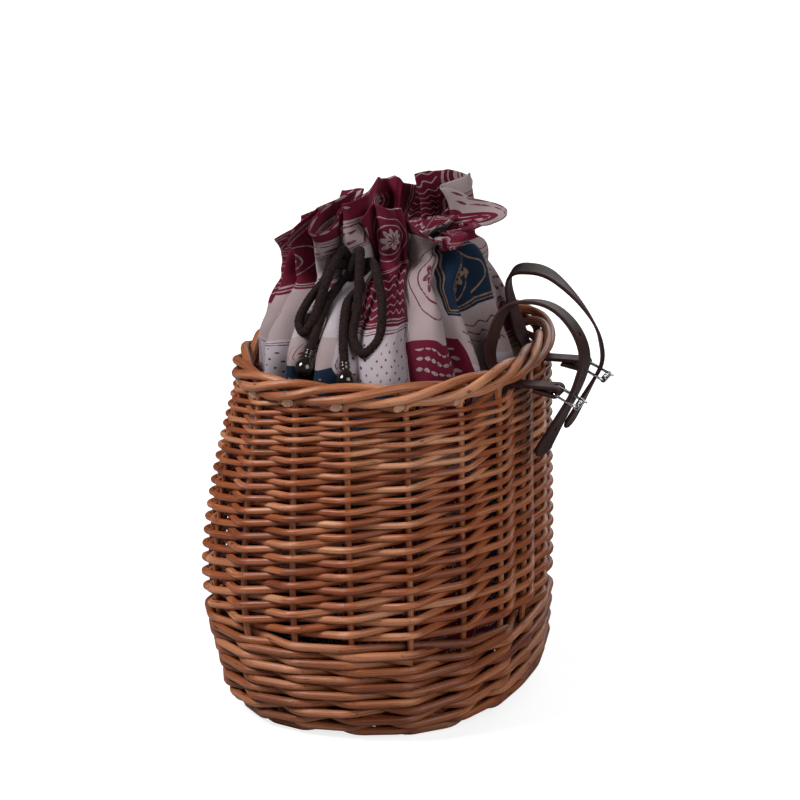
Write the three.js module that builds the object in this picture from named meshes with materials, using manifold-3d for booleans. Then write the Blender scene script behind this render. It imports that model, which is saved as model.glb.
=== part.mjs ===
// Wicker bicycle basket with a drawstring liner and two buckled handlebar straps.
// Millimetres, +Z up. +X runs along the handlebar to the rider's left, +Y points back at the
// bicycle and the origin is the middle of the base's flat underside.
import * as THREE from 'three';
import { mergeVertices } from 'three/addons/utils/BufferGeometryUtils.js';
import Module from 'manifold-3d';

// Wall: plan of the stake centres at four heights, as reach to the ends, the front and the back
const FOOT_HEIGHT = 6;
const HEEL_RADIUS = 26;
const HEEL = { end: 143, front: 106, back: 112 };
const BELLY_HEIGHT = 90;
const BELLY = { end: 146, front: 121, back: 115 };
const SHOULDER_HEIGHT = 165;
const SHOULDER = { end: 151, front: 113, back: 114 };
const RIM_HEIGHT = 262;
const RIM = { end: 154, front: 89, back: 113 };
const FRONT_SQUARENESS = 2.5;
const BACK_SQUARENESS = 2.45;

// Rods
const STAKE_COUNT = 20;
const STAKE_DIAMETER = 4.8;
const STAKE_SIDES = 5;
const WEAVER_BUTT_DIAMETER = 5.4;
const WEAVER_TIP_DIAMETER = 3.2;
const WEAVER_SIDES = 4;
const WALE_DIAMETER = 5.7;
const WALE_RODS = 3;
const WALE_ROUNDS = 4;
const WALE_STEP_BAYS = 4;
const ROW_GAP = 0.55;
const WEAVE_FIT = 0.5;
const ROD_TUCK = 0.18;

// Border: four strands wind round the rim line, and each ends in a slanting cut below it
const BORDER_HALF_WIDTH = 4.6;
const BORDER_HALF_HEIGHT = 5;
const BORDER_STROKE = 3;
const BORDER_END_DROP = 2.9;

// Base
const BASE_THICKNESS = 11;
const BASE_EDGE_ROUND = 4;
const BASE_SEGMENTS = 24;
const SOCKET_DEPTH = 13;
const SOCKET_FIT = 0.35;

// Straps: each runs from its buckle through the wall, up inside, over a loop and down to its tip
const STRAP_SPACING = 84;
const STRAP_WIDTH = 18;
const STRAP_THICKNESS = 2.6;
const STRAP_FIT = 0.6;
const BORDER_BAY_SHARE = 0.85;
const CHAPE_LENGTH = 31;
const CHAPE_FOLD = 16;
const INSIDE_BEND = 5;
const LOOP_RADIUS = 32;
const LOOP_FLAT = 4;
const LOOP_RISE = 33;
const TAIL_LENGTH = 76;
const TAIL_SLANT = 28;
const TIP_LENGTH = 10;
const PUNCH_DIAMETER = 3;
const PUNCH_SPACING = 26;
const PUNCHES_ABOVE = 2;
const PUNCHES_BELOW = 1;

// Buckles
const BUCKLE_WIRE = 2;
const BUCKLE_LENGTH = 19;
const BUCKLE_SIDE_FIT = 0.8;
const BUCKLE_CORNER = 3;
const ROLLER_WALL = 0.6;
const ROLLER_END_FIT = 0.4;
const ROLLER_SIDES = 5;
const PRONG_WIRE = 2.2;
const PRONG_EYE_WALL = 1.4;
const PRONG_OVERHANG = 2.4;
const PIVOT_FIT = 0.35;
const PRONG_SLOT_FIT = 0.7;
const PRONG_SLOT_LOW = 0.4;
const PRONG_SLOT_HIGH = 9;

// Liner: a cloth sack that hangs inside the rim and is gathered to a frilled neck above it
const LINER_WALL = 1.8;
const LINER_SEAT = 0.4;
const LINER_SEGMENTS = 32;
const LINER_FOLDS = 8;
const LINER_FLOOR = { end: 104, front: 58, back: 66 };
const LINER_BODY_HEIGHT = 32;
const LINER_BODY = { end: 125, front: 70, back: 84 };
const LINER_TOP_HEIGHT = 258;
const LINER_TOP = { end: 112, front: 70, back: 90 };
const LINER_SHOULDER_HEIGHT = 288;
const LINER_SHOULDER = { end: 96, front: 74, back: 84 };
const NECK_HEIGHT = 333;
const NECK = { end: 48, front: 58, back: 62 };
const CASING_HEIGHT = 9;
const FRILL_MID_HEIGHT = 354;
const FRILL_MID = { end: 56, front: 68, back: 72 };
const FRILL_HEIGHT = 379;
const FRILL = { end: 62, front: 74, back: 82 };
const NECK_TILT = 0.2;
const FOLD_DEPTH_SHOULDER = 2;
const FOLD_DEPTH_NECK = 5;
const FOLD_DEPTH_FRILL = 7;

// Drawstring
const CORD_DIAMETER = 6.5;
const CORD_SIDES = 6;
const CORD_SEAT = 0.3;
const CORD_TUCK = 3;
const CORD_LEAD = 7;
const KNOT_RADIUS = 9;
const KNOT_FLATTENING = 0.75;
const KNOT_SEAT = 1;
const KNOT_RISE = 6;
const KNOT_SIDEWAYS = -8;
const BELL_LENGTH = 19;
const BELL_MOUTH_DIAMETER = 14;
const BELL_COLLAR_DIAMETER = 8;
const BELL_SEGMENTS = 8;

const wasm = await Module();
wasm.setup();

const V = (x, y, z) => new THREE.Vector3(x, y, z);
const rad = (degrees) => degrees * Math.PI / 180;
const mix = (a, b, t) => a + (b - a) * t;

// Smooth curve through [position, value] stops, with finite-difference slopes
function smooth(position, stops) {
  const slope = (i) => {
    const a = stops[Math.max(i - 1, 0)];
    const b = stops[Math.min(i + 1, stops.length - 1)];
    return (b[1] - a[1]) / (b[0] - a[0]);
  };
  let i = 0;
  while (i < stops.length - 2 && position > stops[i + 1][0]) i += 1;
  const [x0, y0] = stops[i];
  const [x1, y1] = stops[i + 1];
  const span = x1 - x0;
  const t = (position - x0) / span;
  const t2 = t * t;
  const t3 = t2 * t;
  return (2 * t3 - 3 * t2 + 1) * y0 + (t3 - 2 * t2 + t) * span * slope(i)
    + (3 * t2 - 2 * t3) * y1 + (t3 - t2) * span * slope(i + 1);
}

// Reach to the ends, front and back at a height, from a list of [height, size] stops
function sizeAt(height, levels) {
  const curve = (key) => smooth(height, levels.map(([z, size]) => [z, size[key]]));
  return { end: curve('end'), front: curve('front'), back: curve('back') };
}

const grow = (size, by) => ({ end: size.end + by, front: size.front + by, back: size.back + by });

// Point of a rounded plan at a parametric angle, counter-clockwise from +X
function planPoint(angle, size, z) {
  const c = Math.cos(angle);
  const s = Math.sin(angle);
  const power = 2 / (s < 0 ? FRONT_SQUARENESS : BACK_SQUARENESS);
  const reach = s < 0 ? size.front : size.back;
  const x = size.end * Math.sign(c) * Math.abs(c) ** power;
  return V(x, reach * Math.sign(s) * Math.abs(s) ** power, z);
}

// Back wall's distance from the origin at a given x
function backReach(x, size) {
  return size.back * (1 - Math.abs(x / size.end) ** BACK_SQUARENESS) ** (1 / BACK_SQUARENESS);
}

// Closed solid through a list of rings with equal point counts
function loft(rings) {
  const count = rings[0].length;
  const positions = rings.flat().flatMap((p) => [p.x, p.y, p.z]);
  const faces = [];
  for (let i = 0; i + 1 < rings.length; i += 1) {
    for (let j = 0; j < count; j += 1) {
      const a = i * count + j;
      const b = i * count + (j + 1) % count;
      faces.push(a, b, b + count, a, b + count, a + count);
    }
  }
  const last = (rings.length - 1) * count;
  for (let j = 1; j + 1 < count; j += 1) {
    faces.push(0, j + 1, j);
    faces.push(last, last + j, last + j + 1);
  }
  const geometry = new THREE.BufferGeometry();
  geometry.setAttribute('position', new THREE.Float32BufferAttribute(positions, 3));
  geometry.setIndex(faces);
  return geometry;
}

// Rod or cord along points, with a radius and an outward hint for its corners at each point
function rodSolid(stations, sides) {
  const rings = stations.map(({ point, out, radius }, i) => {
    const before = stations[Math.max(i - 1, 0)].point;
    const after = stations[Math.min(i + 1, stations.length - 1)].point;
    const along = after.clone().sub(before).normalize();
    const u = out.clone().addScaledVector(along, -out.dot(along)).normalize();
    const v = along.clone().cross(u);
    return Array.from({ length: sides }, (_, j) => {
      const turn = 2 * Math.PI * j / sides;
      return point.clone().addScaledVector(u, radius * Math.cos(turn)).addScaledVector(v, radius * Math.sin(turn));
    });
  });
  return loft(rings);
}

function toManifold(geometry) {
  const plain = new THREE.BufferGeometry();
  plain.setAttribute('position', geometry.getAttribute('position'));
  if (geometry.index) plain.setIndex(geometry.index);
  const merged = mergeVertices(plain, 1e-4);
  return new wasm.Manifold(new wasm.Mesh({
    numProp: 3,
    vertProperties: new Float32Array(merged.getAttribute('position').array),
    triVerts: new Uint32Array(merged.index.array),
  }));
}

function fromManifold(solid) {
  const mesh = solid.getMesh();
  const result = new THREE.BufferGeometry();
  result.setAttribute('position', new THREE.Float32BufferAttribute(mesh.vertProperties, 3));
  result.setIndex(Array.from(mesh.triVerts));
  return result;
}

function cut(geometry, tools) {
  let solid = toManifold(geometry);
  for (const tool of tools) solid = solid.subtract(toManifold(tool));
  return fromManifold(solid);
}

function join(geometries) {
  let solid = toManifold(geometries[0]);
  for (const other of geometries.slice(1)) solid = solid.add(toManifold(other));
  return fromManifold(solid);
}

const basket = new THREE.Group();
basket.name = 'bicycle_basket';

const finish = (color, roughness, metalness = 0) => new THREE.MeshStandardMaterial({ color, roughness, metalness });
const willow = finish(0xb47a55, 0.6);
const willowDark = finish(0x9a623f, 0.65);
const leather = finish(0x2c2523, 0.5);
const steel = finish(0xc9ccd0, 0.25, 1);
const cotton = finish(0x8a2b45, 0.9);
const cordYarn = finish(0x2a211d, 0.95);
const hornPlastic = finish(0x17100d, 0.2);

function add(name, geometry, material, parent = basket) {
  const mesh = new THREE.Mesh(geometry, material);
  mesh.name = name;
  parent.add(mesh);
  return mesh;
}

const twoDigits = (n) => String(n).padStart(2, '0');

// The wall as the stakes follow it. Level is the distance climbed from the base's edge: first
// round the heel, then straight up. Stakes and weavers share its straight stretches.
const HEEL_CLIMB = HEEL_RADIUS * Math.PI / 2;
const HEEL_TOP = FOOT_HEIGHT + HEEL_RADIUS;
const WALL_LEVELS = [[HEEL_TOP, HEEL], [BELLY_HEIGHT, BELLY], [SHOULDER_HEIGHT, SHOULDER], [RIM_HEIGHT, RIM]];
const levelOf = (z) => z - HEEL_TOP + HEEL_CLIMB;
const BASE_PLAN = grow(HEEL, -HEEL_RADIUS);

function wallRing(level) {
  if (level >= HEEL_CLIMB) {
    const z = level - HEEL_CLIMB + HEEL_TOP;
    return { z, size: sizeAt(z, WALL_LEVELS) };
  }
  const swing = level / HEEL_RADIUS;
  const inset = HEEL_RADIUS * (1 - Math.sin(swing));
  return { z: FOOT_HEIGHT + HEEL_RADIUS * (1 - Math.cos(swing)), size: grow(HEEL, -inset) };
}

const BORDER_BOTTOM = RIM_HEIGHT - BORDER_HALF_HEIGHT;
const STAKE_STOPS = [
  0, HEEL_CLIMB / 3, HEEL_CLIMB * 2 / 3, HEEL_CLIMB,
  levelOf(BELLY_HEIGHT), levelOf(SHOULDER_HEIGHT), levelOf(BORDER_BOTTOM),
];

// Parametric angle of each bay's ends, so that the stakes are evenly spaced round the belly and
// the middle of the back falls between two of them
const belt = Array.from({ length: 721 }, (_, i) => planPoint(Math.PI / 2 + i * Math.PI / 360, BELLY, 0));
const beltRun = belt.reduce((run, p, i) => [...run, i ? run[i - 1] + p.distanceTo(belt[i - 1]) : 0], []);
function stakeAngle(index) {
  const turns = Math.floor((index + 0.5) / STAKE_COUNT);
  const along = ((index + 0.5) / STAKE_COUNT - turns) * beltRun[720];
  let i = 0;
  while (beltRun[i + 1] < along) i += 1;
  const t = (along - beltRun[i]) / (beltRun[i + 1] - beltRun[i]);
  return Math.PI / 2 + (i + t) * Math.PI / 360 + turns * 2 * Math.PI;
}

function wallPoint(index, level) {
  let i = 0;
  while (i < STAKE_STOPS.length - 2 && level > STAKE_STOPS[i + 1]) i += 1;
  const low = wallRing(STAKE_STOPS[i]);
  const high = wallRing(STAKE_STOPS[i + 1]);
  const t = (level - STAKE_STOPS[i]) / (STAKE_STOPS[i + 1] - STAKE_STOPS[i]);
  const angle = stakeAngle(index);
  return planPoint(angle, low.size, low.z).lerp(planPoint(angle, high.size, high.z), t);
}

function wallNormal(index, level) {
  const across = wallPoint(index + 0.04, level).sub(wallPoint(index - 0.04, level));
  const up = wallPoint(index, level + 1).sub(wallPoint(index, Math.max(level - 1, 0)));
  return across.cross(up).normalize();
}

// Where a rod lies as it passes a stake: side is 1 outside and -1 inside
function passStake(index, level, side, radius) {
  const here = wallPoint(index, level);
  const square = wallNormal(index, level);
  const out = square.clone();
  if (level > HEEL_CLIMB) out.setZ(0).normalize();
  const bay = here.distanceTo(wallPoint(index + 1, level));
  const turn = square.angleTo(wallNormal(index + 1, level));
  const clear = (STAKE_DIAMETER / 2 + radius + WEAVE_FIT) / out.dot(square);
  const slant = Math.abs(Math.atan2(2 * clear, bay) + side * turn / 2);
  return { point: here.addScaledVector(out, side * clear / Math.cos(slant)), out, radius };
}

// Wale: rods wind in front of two stakes and behind one, level round the wall, and each round
// steps up to the next at the back
const WALE_PITCH = WALE_DIAMETER + ROW_GAP;
const WALE_CLEAR = STAKE_DIAMETER / 2 + WALE_DIAMETER / 2 + WEAVE_FIT;
const WALE_START = HEEL_RADIUS * Math.acos(
  (HEEL_TOP - WALE_DIAMETER / 2 - ROW_GAP) / (HEEL_RADIUS + WALE_CLEAR));
const WALE_TOP = WALE_START + WALE_PITCH * (WALE_RODS * WALE_ROUNDS - 1);
const lastWaleStake = STAKE_COUNT * WALE_ROUNDS - WALE_STEP_BAYS;
for (let k = 0; k < WALE_RODS; k += 1) {
  const stations = [];
  for (let i = k + 1 - WALE_RODS; i <= lastWaleStake + k; i += 1) {
    const round = Math.max(0, Math.floor(i / STAKE_COUNT));
    const climbing = i >= 0 && i <= lastWaleStake;
    const intoStep = climbing ? Math.max(0, i - (round + 1) * STAKE_COUNT + WALE_STEP_BAYS) / WALE_STEP_BAYS : 0;
    const row = k + WALE_RODS * (round + intoStep);
    const side = ((i + STAKE_COUNT) % STAKE_COUNT + k) % WALE_RODS === 0 ? -1 : 1;
    stations.push(passStake(i, WALE_START + WALE_PITCH * row, side, WALE_DIAMETER / 2));
  }
  add(`wale_rod_${k + 1}`, rodSolid(stations, WEAVER_SIDES), willowDark);
}

// Side weave, French randing: one weaver starts behind each stake, all climb one row at every
// stake, and each passes in turn behind and in front, thinning from butt to tip
const SLOT_HEIGHT = BORDER_BOTTOM - BORDER_END_DROP - STAKE_DIAMETER / 2 - STRAP_FIT - STRAP_THICKNESS / 2;
const WEAVE_BOTTOM = WALE_TOP + (WALE_DIAMETER + WEAVER_BUTT_DIAMETER) / 2 + ROW_GAP;
const WEAVE_TOP = levelOf(SLOT_HEIGHT - STRAP_THICKNESS / 2 - STRAP_FIT - WEAVER_TIP_DIAMETER / 2);
const meanPitch = (WEAVER_BUTT_DIAMETER + WEAVER_TIP_DIAMETER) / 2 + ROW_GAP;
const ROW_COUNT = 2 * Math.floor((WEAVE_TOP - WEAVE_BOTTOM) / meanPitch / 2) + 1;
const weaverRadius = (row) => mix(WEAVER_BUTT_DIAMETER, WEAVER_TIP_DIAMETER, row / (ROW_COUNT - 1)) / 2;
function weaveLevel(row) {
  const share = row / (ROW_COUNT - 1);
  const taper = (WEAVER_BUTT_DIAMETER - WEAVER_TIP_DIAMETER) / (2 * meanPitch);
  return mix(WEAVE_BOTTOM, WEAVE_TOP, share * (1 + taper * (1 - share)));
}
for (let j = 0; j < STAKE_COUNT; j += 1) {
  const stations = [];
  for (let row = 0; row < ROW_COUNT; row += 1) {
    stations.push(passStake(j + row, weaveLevel(row), row % 2 ? 1 : -1, weaverRadius(row)));
  }
  const butt = passStake(j - ROD_TUCK, weaveLevel(0), -1, weaverRadius(0));
  const tip = passStake(j + ROW_COUNT - 1 + ROD_TUCK, weaveLevel(ROW_COUNT - 1), -1, weaverRadius(ROW_COUNT - 1));
  add(`weaver_${twoDigits(j + 1)}`, rodSolid([butt, ...stations, tip], WEAVER_SIDES), willow);
}

// Stakes: from a socket in the base's edge, up the wall, then along the rim as border strands.
// A strand climbs outside, crosses the top, drops inside and pokes out below the next strands.
const RIM_LINE = sizeAt(BORDER_BOTTOM, WALL_LEVELS);
const borderPath = [];
for (let u = 0; u <= BORDER_STROKE; u += 0.5) {
  const swing = -Math.PI / 2 + u * Math.PI / 2;
  borderPath.push([u, BORDER_HALF_WIDTH * Math.cos(swing), BORDER_HALF_HEIGHT * Math.sin(swing)]);
}
borderPath.push([BORDER_STROKE + 0.5, -BORDER_HALF_WIDTH / 2, -BORDER_HALF_HEIGHT - BORDER_END_DROP / 2]);
borderPath.push([BORDER_STROKE + 0.78, BORDER_HALF_WIDTH * 0.7, -BORDER_HALF_HEIGHT - BORDER_END_DROP]);

function stakeStations(i, radius) {
  const stations = [];
  const root = wallPoint(i, 0);
  const flatOut = planPoint(stakeAngle(i + 0.04), BASE_PLAN, 0).sub(planPoint(stakeAngle(i - 0.04), BASE_PLAN, 0))
    .cross(V(0, 0, 1)).normalize();
  const up = V(0, 0, -1);
  stations.push({ point: root.clone().addScaledVector(flatOut, -SOCKET_DEPTH), out: up, radius });
  STAKE_STOPS.forEach((level) => {
    stations.push({ point: wallPoint(i, level), out: level ? wallNormal(i, level) : up, radius });
  });
  stations.pop();
  borderPath.forEach(([u, width, rise]) => {
    const out = wallNormal(i + u, levelOf(RIM_HEIGHT)).setZ(0).normalize();
    const point = planPoint(stakeAngle(i + u), RIM_LINE, RIM_HEIGHT + rise).addScaledVector(out, width);
    stations.push({ point, out, radius });
  });
  return stations;
}
for (let i = 0; i < STAKE_COUNT; i += 1) {
  add(`stake_${twoDigits(i + 1)}`, rodSolid(stakeStations(i, STAKE_DIAMETER / 2), STAKE_SIDES), willow);
}

// Base: a round-edged oval plate with a socket for the foot of every stake
const baseRing = (z, inset) => Array.from({ length: BASE_SEGMENTS },
  (_, j) => planPoint(2 * Math.PI * (j + 0.5) / BASE_SEGMENTS, grow(BASE_PLAN, -inset), z));
const basePlate = loft([
  baseRing(0, BASE_EDGE_ROUND), baseRing(BASE_EDGE_ROUND, 0),
  baseRing(BASE_THICKNESS - BASE_EDGE_ROUND, 0), baseRing(BASE_THICKNESS, BASE_EDGE_ROUND),
]);
const sockets = Array.from({ length: STAKE_COUNT }, (_, i) => {
  const stations = stakeStations(i, STAKE_DIAMETER / 2 + SOCKET_FIT).slice(0, 2);
  const along = stations[1].point.clone().sub(stations[0].point).normalize();
  stations[0].point.addScaledVector(along, -SOCKET_FIT);
  stations[1].point.addScaledVector(along, SOCKET_DEPTH);
  return rodSolid(stations, STAKE_SIDES);
});
add('base_panel', cut(basePlate, sockets), willowDark);

// Straps and buckles. Each strap lies in a plane of constant x, drawn here as (y, z).
const REST_ANGLE = -rad(TAIL_SLANT);
const barRadius = BUCKLE_WIRE / Math.SQRT2;
const wrapRadius = barRadius + PIVOT_FIT + STRAP_THICKNESS / 2;
const RIM_AT_SLOT = sizeAt(SLOT_HEIGHT, WALL_LEVELS);
const strapNear = STRAP_SPACING / 2 - STRAP_WIDTH / 2;
const strapFar = STRAP_SPACING / 2 + STRAP_WIDTH / 2;
const borderDepth = BORDER_HALF_WIDTH * BORDER_BAY_SHARE + STAKE_DIAMETER / 2;
const insideY = backReach(strapFar, RIM) - borderDepth - STRAP_FIT - STRAP_THICKNESS / 2;
const barY = backReach(strapNear, RIM_AT_SLOT) + CHAPE_LENGTH;
const barZ = SLOT_HEIGHT - wrapRadius;
const loopZ = RIM_HEIGHT + LOOP_RISE - LOOP_RADIUS / 2;
const tailStart = V(0, insideY + LOOP_RADIUS * (1 + Math.cos(REST_ANGLE)) + LOOP_FLAT, loopZ + LOOP_RADIUS * Math.sin(REST_ANGLE));
const tailWay = V(0, Math.sin(REST_ANGLE), -Math.cos(REST_ANGLE));
const buckleWay = V(0, Math.cos(REST_ANGLE), Math.sin(REST_ANGLE));
const buckleUp = tailWay.clone().negate();

const strapLine = new THREE.Path();
strapLine.moveTo(barY - CHAPE_FOLD, barZ - wrapRadius);
strapLine.lineTo(barY, barZ - wrapRadius);
strapLine.absarc(barY, barZ, wrapRadius, -Math.PI / 2, Math.PI / 2, false);
strapLine.lineTo(insideY + INSIDE_BEND, SLOT_HEIGHT);
strapLine.absarc(insideY + INSIDE_BEND, SLOT_HEIGHT + INSIDE_BEND, INSIDE_BEND, -Math.PI / 2, -Math.PI, true);
strapLine.lineTo(insideY, loopZ);
strapLine.absarc(insideY + LOOP_RADIUS, loopZ, LOOP_RADIUS, Math.PI, Math.PI / 2, true);
strapLine.lineTo(insideY + LOOP_RADIUS + LOOP_FLAT, loopZ + LOOP_RADIUS);
strapLine.absarc(insideY + LOOP_RADIUS + LOOP_FLAT, loopZ, LOOP_RADIUS, Math.PI / 2, REST_ANGLE, true);
const strapPoints = strapLine.getPoints(3).filter((p, i, all) => i === 0 || p.distanceTo(all[i - 1]) > 1e-3);

function strapRing(point, along, width) {
  const face = along.clone().cross(V(1, 0, 0));
  return [[1, 1], [-1, 1], [-1, -1], [1, -1]].map(([side, layer]) => point.clone()
    .add(V(side * width / 2, 0, 0)).addScaledVector(face, layer * STRAP_THICKNESS / 2));
}

function strapSolid(x) {
  const centres = strapPoints.map((p) => V(x, p.x, p.y));
  const rings = centres.map((point, i) => {
    const before = centres[Math.max(i - 1, 0)];
    const after = i + 1 < centres.length ? centres[i + 1] : point.clone().add(tailWay);
    return strapRing(point, after.clone().sub(before).normalize(), STRAP_WIDTH);
  });
  const tip = V(x, tailStart.y, tailStart.z).addScaledVector(tailWay, TAIL_LENGTH);
  [[1, 1], [0.55, 0.9], [0.2, 0.62], [0, 0.25]].forEach(([back, width]) => {
    rings.push(strapRing(tip.clone().addScaledVector(tailWay, -back * TIP_LENGTH), tailWay, width * STRAP_WIDTH));
  });
  return loft(rings);
}

// Distance from the bar to the tail, measured along the buckle
const bar = V(0, barY, barZ);
const tailReach = tailStart.clone().sub(bar).dot(buckleWay);
const tailCross = bar.clone().addScaledVector(buckleWay, tailReach);

// Box whose long side runs along the tail, centred at a distance up from the buckle's plane
function tailBox(x, low, high, width) {
  const box = new THREE.BoxGeometry(width, STRAP_THICKNESS * 3, high - low);
  box.rotateX(REST_ANGLE);
  const middle = tailCross.clone().addScaledVector(buckleUp, (low + high) / 2);
  box.translate(x, middle.y, middle.z);
  return box;
}

// Hole through the strap at a distance below the buckle, or above it where that is negative. Above
// the straight tail it follows the loop.
const loopCentre = V(0, insideY + LOOP_RADIUS + LOOP_FLAT, loopZ);
function tailPunch(x, below) {
  const run = below + tailCross.clone().sub(tailStart).dot(tailWay);
  const turn = REST_ANGLE + Math.max(0, -run) / LOOP_RADIUS;
  const outward = V(0, Math.cos(turn), Math.sin(turn));
  const middle = loopCentre.clone().addScaledVector(outward, LOOP_RADIUS).addScaledVector(tailWay, Math.max(0, run));
  const punch = new THREE.CylinderGeometry(PUNCH_DIAMETER / 2, PUNCH_DIAMETER / 2, STRAP_THICKNESS * 3, 6);
  punch.rotateX(turn);
  punch.translate(x, middle.y, middle.z);
  return punch;
}

function buckleFrame(x) {
  const half = STRAP_WIDTH / 2 + BUCKLE_SIDE_FIT;
  const wire = BUCKLE_WIRE;
  const outline = new THREE.Shape();
  const left = -half - wire;
  const right = half + wire;
  const low = -wire / 2;
  const high = BUCKLE_LENGTH + wire / 2;
  outline.moveTo(left, low);
  outline.lineTo(right, low);
  outline.lineTo(right, high - BUCKLE_CORNER);
  outline.absarc(right - BUCKLE_CORNER, high - BUCKLE_CORNER, BUCKLE_CORNER, 0, Math.PI / 2, false);
  outline.absarc(left + BUCKLE_CORNER, high - BUCKLE_CORNER, BUCKLE_CORNER, Math.PI / 2, Math.PI, false);
  outline.lineTo(left, low);
  const inside = new THREE.Path();
  inside.moveTo(-half, wire / 2);
  inside.lineTo(-half, BUCKLE_LENGTH - wire / 2);
  inside.lineTo(half, BUCKLE_LENGTH - wire / 2);
  inside.lineTo(half, wire / 2);
  inside.lineTo(-half, wire / 2);
  outline.holes.push(inside);
  const frame = new THREE.ExtrudeGeometry(outline, { depth: wire, bevelEnabled: false, curveSegments: 3 });
  frame.translate(0, 0, -wire / 2);
  frame.applyMatrix4(new THREE.Matrix4().makeBasis(V(1, 0, 0), buckleWay, buckleUp));
  frame.translate(x, barY, barZ);
  return frame;
}

// Tube that turns on the frame's far bar
const rollerBore = barRadius + PIVOT_FIT;
const rollerRadius = rollerBore + ROLLER_WALL;
function roller(x) {
  const outline = new THREE.Shape();
  outline.absarc(0, 0, rollerRadius, 0, 2 * Math.PI, false);
  const bore = new THREE.Path();
  bore.absarc(0, 0, rollerBore, 0, 2 * Math.PI, true);
  outline.holes.push(bore);
  const length = STRAP_WIDTH + 2 * BUCKLE_SIDE_FIT - 2 * ROLLER_END_FIT;
  const body = new THREE.ExtrudeGeometry(outline, { depth: length, bevelEnabled: false, curveSegments: ROLLER_SIDES });
  body.translate(0, 0, -length / 2);
  body.applyMatrix4(new THREE.Matrix4().makeBasis(buckleWay, buckleUp, V(1, 0, 0)));
  const place = bar.clone().addScaledVector(buckleWay, BUCKLE_LENGTH);
  body.translate(x, place.y, place.z);
  return body;
}

function prong(x) {
  const eyeHole = barRadius + PIVOT_FIT;
  const eye = eyeHole + PRONG_EYE_WALL;
  const rest = rollerRadius + PIVOT_FIT;
  const tipReach = BUCKLE_LENGTH + rollerRadius + PRONG_OVERHANG;
  const openFrom = Math.asin(rest * 0.4 / eye);
  const outline = new THREE.Shape();
  outline.absarc(0, 0, eye, Math.PI / 2, 2 * Math.PI + openFrom, false);
  outline.lineTo(BUCKLE_LENGTH - rollerRadius, rest);
  outline.lineTo(tipReach, rest);
  outline.lineTo(tipReach, rest + PRONG_WIRE * 0.6);
  outline.lineTo(BUCKLE_LENGTH - rollerRadius, rest + PRONG_WIRE);
  const hole = new THREE.Path();
  hole.absarc(0, 0, eyeHole, 0, 2 * Math.PI, true);
  outline.holes.push(hole);
  const body = new THREE.ExtrudeGeometry(outline, { depth: PRONG_WIRE, bevelEnabled: false, curveSegments: 6 });
  body.translate(0, 0, -PRONG_WIRE / 2);
  body.applyMatrix4(new THREE.Matrix4().makeBasis(buckleWay, buckleUp, V(1, 0, 0)));
  body.translate(x, barY, barZ);
  return body;
}

[['left', 1], ['right', -1]].forEach(([side, sign]) => {
  const x = sign * STRAP_SPACING / 2;
  const slotWidth = PRONG_WIRE + 2 * PRONG_SLOT_FIT;
  const eyeReach = barRadius + PIVOT_FIT + PRONG_EYE_WALL + PIVOT_FIT;
  const chapeSlot = new THREE.BoxGeometry(slotWidth, eyeReach + wrapRadius + STRAP_THICKNESS, 2 * wrapRadius + STRAP_THICKNESS * 2);
  chapeSlot.translate(x, barY - eyeReach + (eyeReach + wrapRadius + STRAP_THICKNESS) / 2, barZ);
  const tools = [chapeSlot, tailBox(x, PRONG_SLOT_LOW, PRONG_SLOT_HIGH, slotWidth)];
  for (let i = -PUNCHES_ABOVE; i <= PUNCHES_BELOW; i += 1) {
    if (i !== 0) tools.push(tailPunch(x, i * PUNCH_SPACING));
  }
  add(`${side}_strap`, cut(strapSolid(x), tools), leather);
  add(`${side}_buckle_frame`, buckleFrame(x), steel);
  add(`${side}_buckle_roller`, roller(x), steel);
  add(`${side}_buckle_prong`, prong(x), steel);
});

// Liner: outer skin from the floor to the frill's edge, then the inner skin back down
const LINER_FLOOR_Z = BASE_THICKNESS + LINER_SEAT;
const LINER_LEVELS = [
  [LINER_FLOOR_Z, LINER_FLOOR, 0], [LINER_BODY_HEIGHT, LINER_BODY, 0], [LINER_TOP_HEIGHT, LINER_TOP, 0],
  [LINER_SHOULDER_HEIGHT, LINER_SHOULDER, FOLD_DEPTH_SHOULDER],
  [(LINER_SHOULDER_HEIGHT + NECK_HEIGHT) / 2,
    { end: (LINER_SHOULDER.end + NECK.end) / 2, front: (LINER_SHOULDER.front + NECK.front) / 2,
      back: (LINER_SHOULDER.back + NECK.back) / 2 }, FOLD_DEPTH_NECK],
  [NECK_HEIGHT - CASING_HEIGHT / 2, NECK, FOLD_DEPTH_NECK], [NECK_HEIGHT + CASING_HEIGHT / 2, NECK, FOLD_DEPTH_NECK],
  [FRILL_MID_HEIGHT, FRILL_MID, FOLD_DEPTH_FRILL],
  [FRILL_HEIGHT, FRILL, FOLD_DEPTH_FRILL],
];
function linerRing([z, size, fold], inset, lift = 0) {
  return Array.from({ length: LINER_SEGMENTS }, (_, j) => {
    const angle = 2 * Math.PI * j / LINER_SEGMENTS;
    const ripple = -fold * (1 - Math.cos(LINER_FOLDS * angle)) / 2;
    const point = planPoint(angle, grow(size, ripple - inset), z + lift);
    const climb = (z - LINER_SHOULDER_HEIGHT) / (NECK_HEIGHT - CASING_HEIGHT / 2 - LINER_SHOULDER_HEIGHT);
    point.z += Math.min(1, Math.max(0, climb)) * NECK_TILT * point.y;
    return point;
  });
}
const linerRings = LINER_LEVELS.map((level) => linerRing(level, 0));
[...LINER_LEVELS].reverse().forEach((level, i, all) => {
  linerRings.push(linerRing(level, LINER_WALL, i === all.length - 1 ? LINER_WALL : 0));
});
add('liner_bag', loft(linerRings), cotton);

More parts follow.
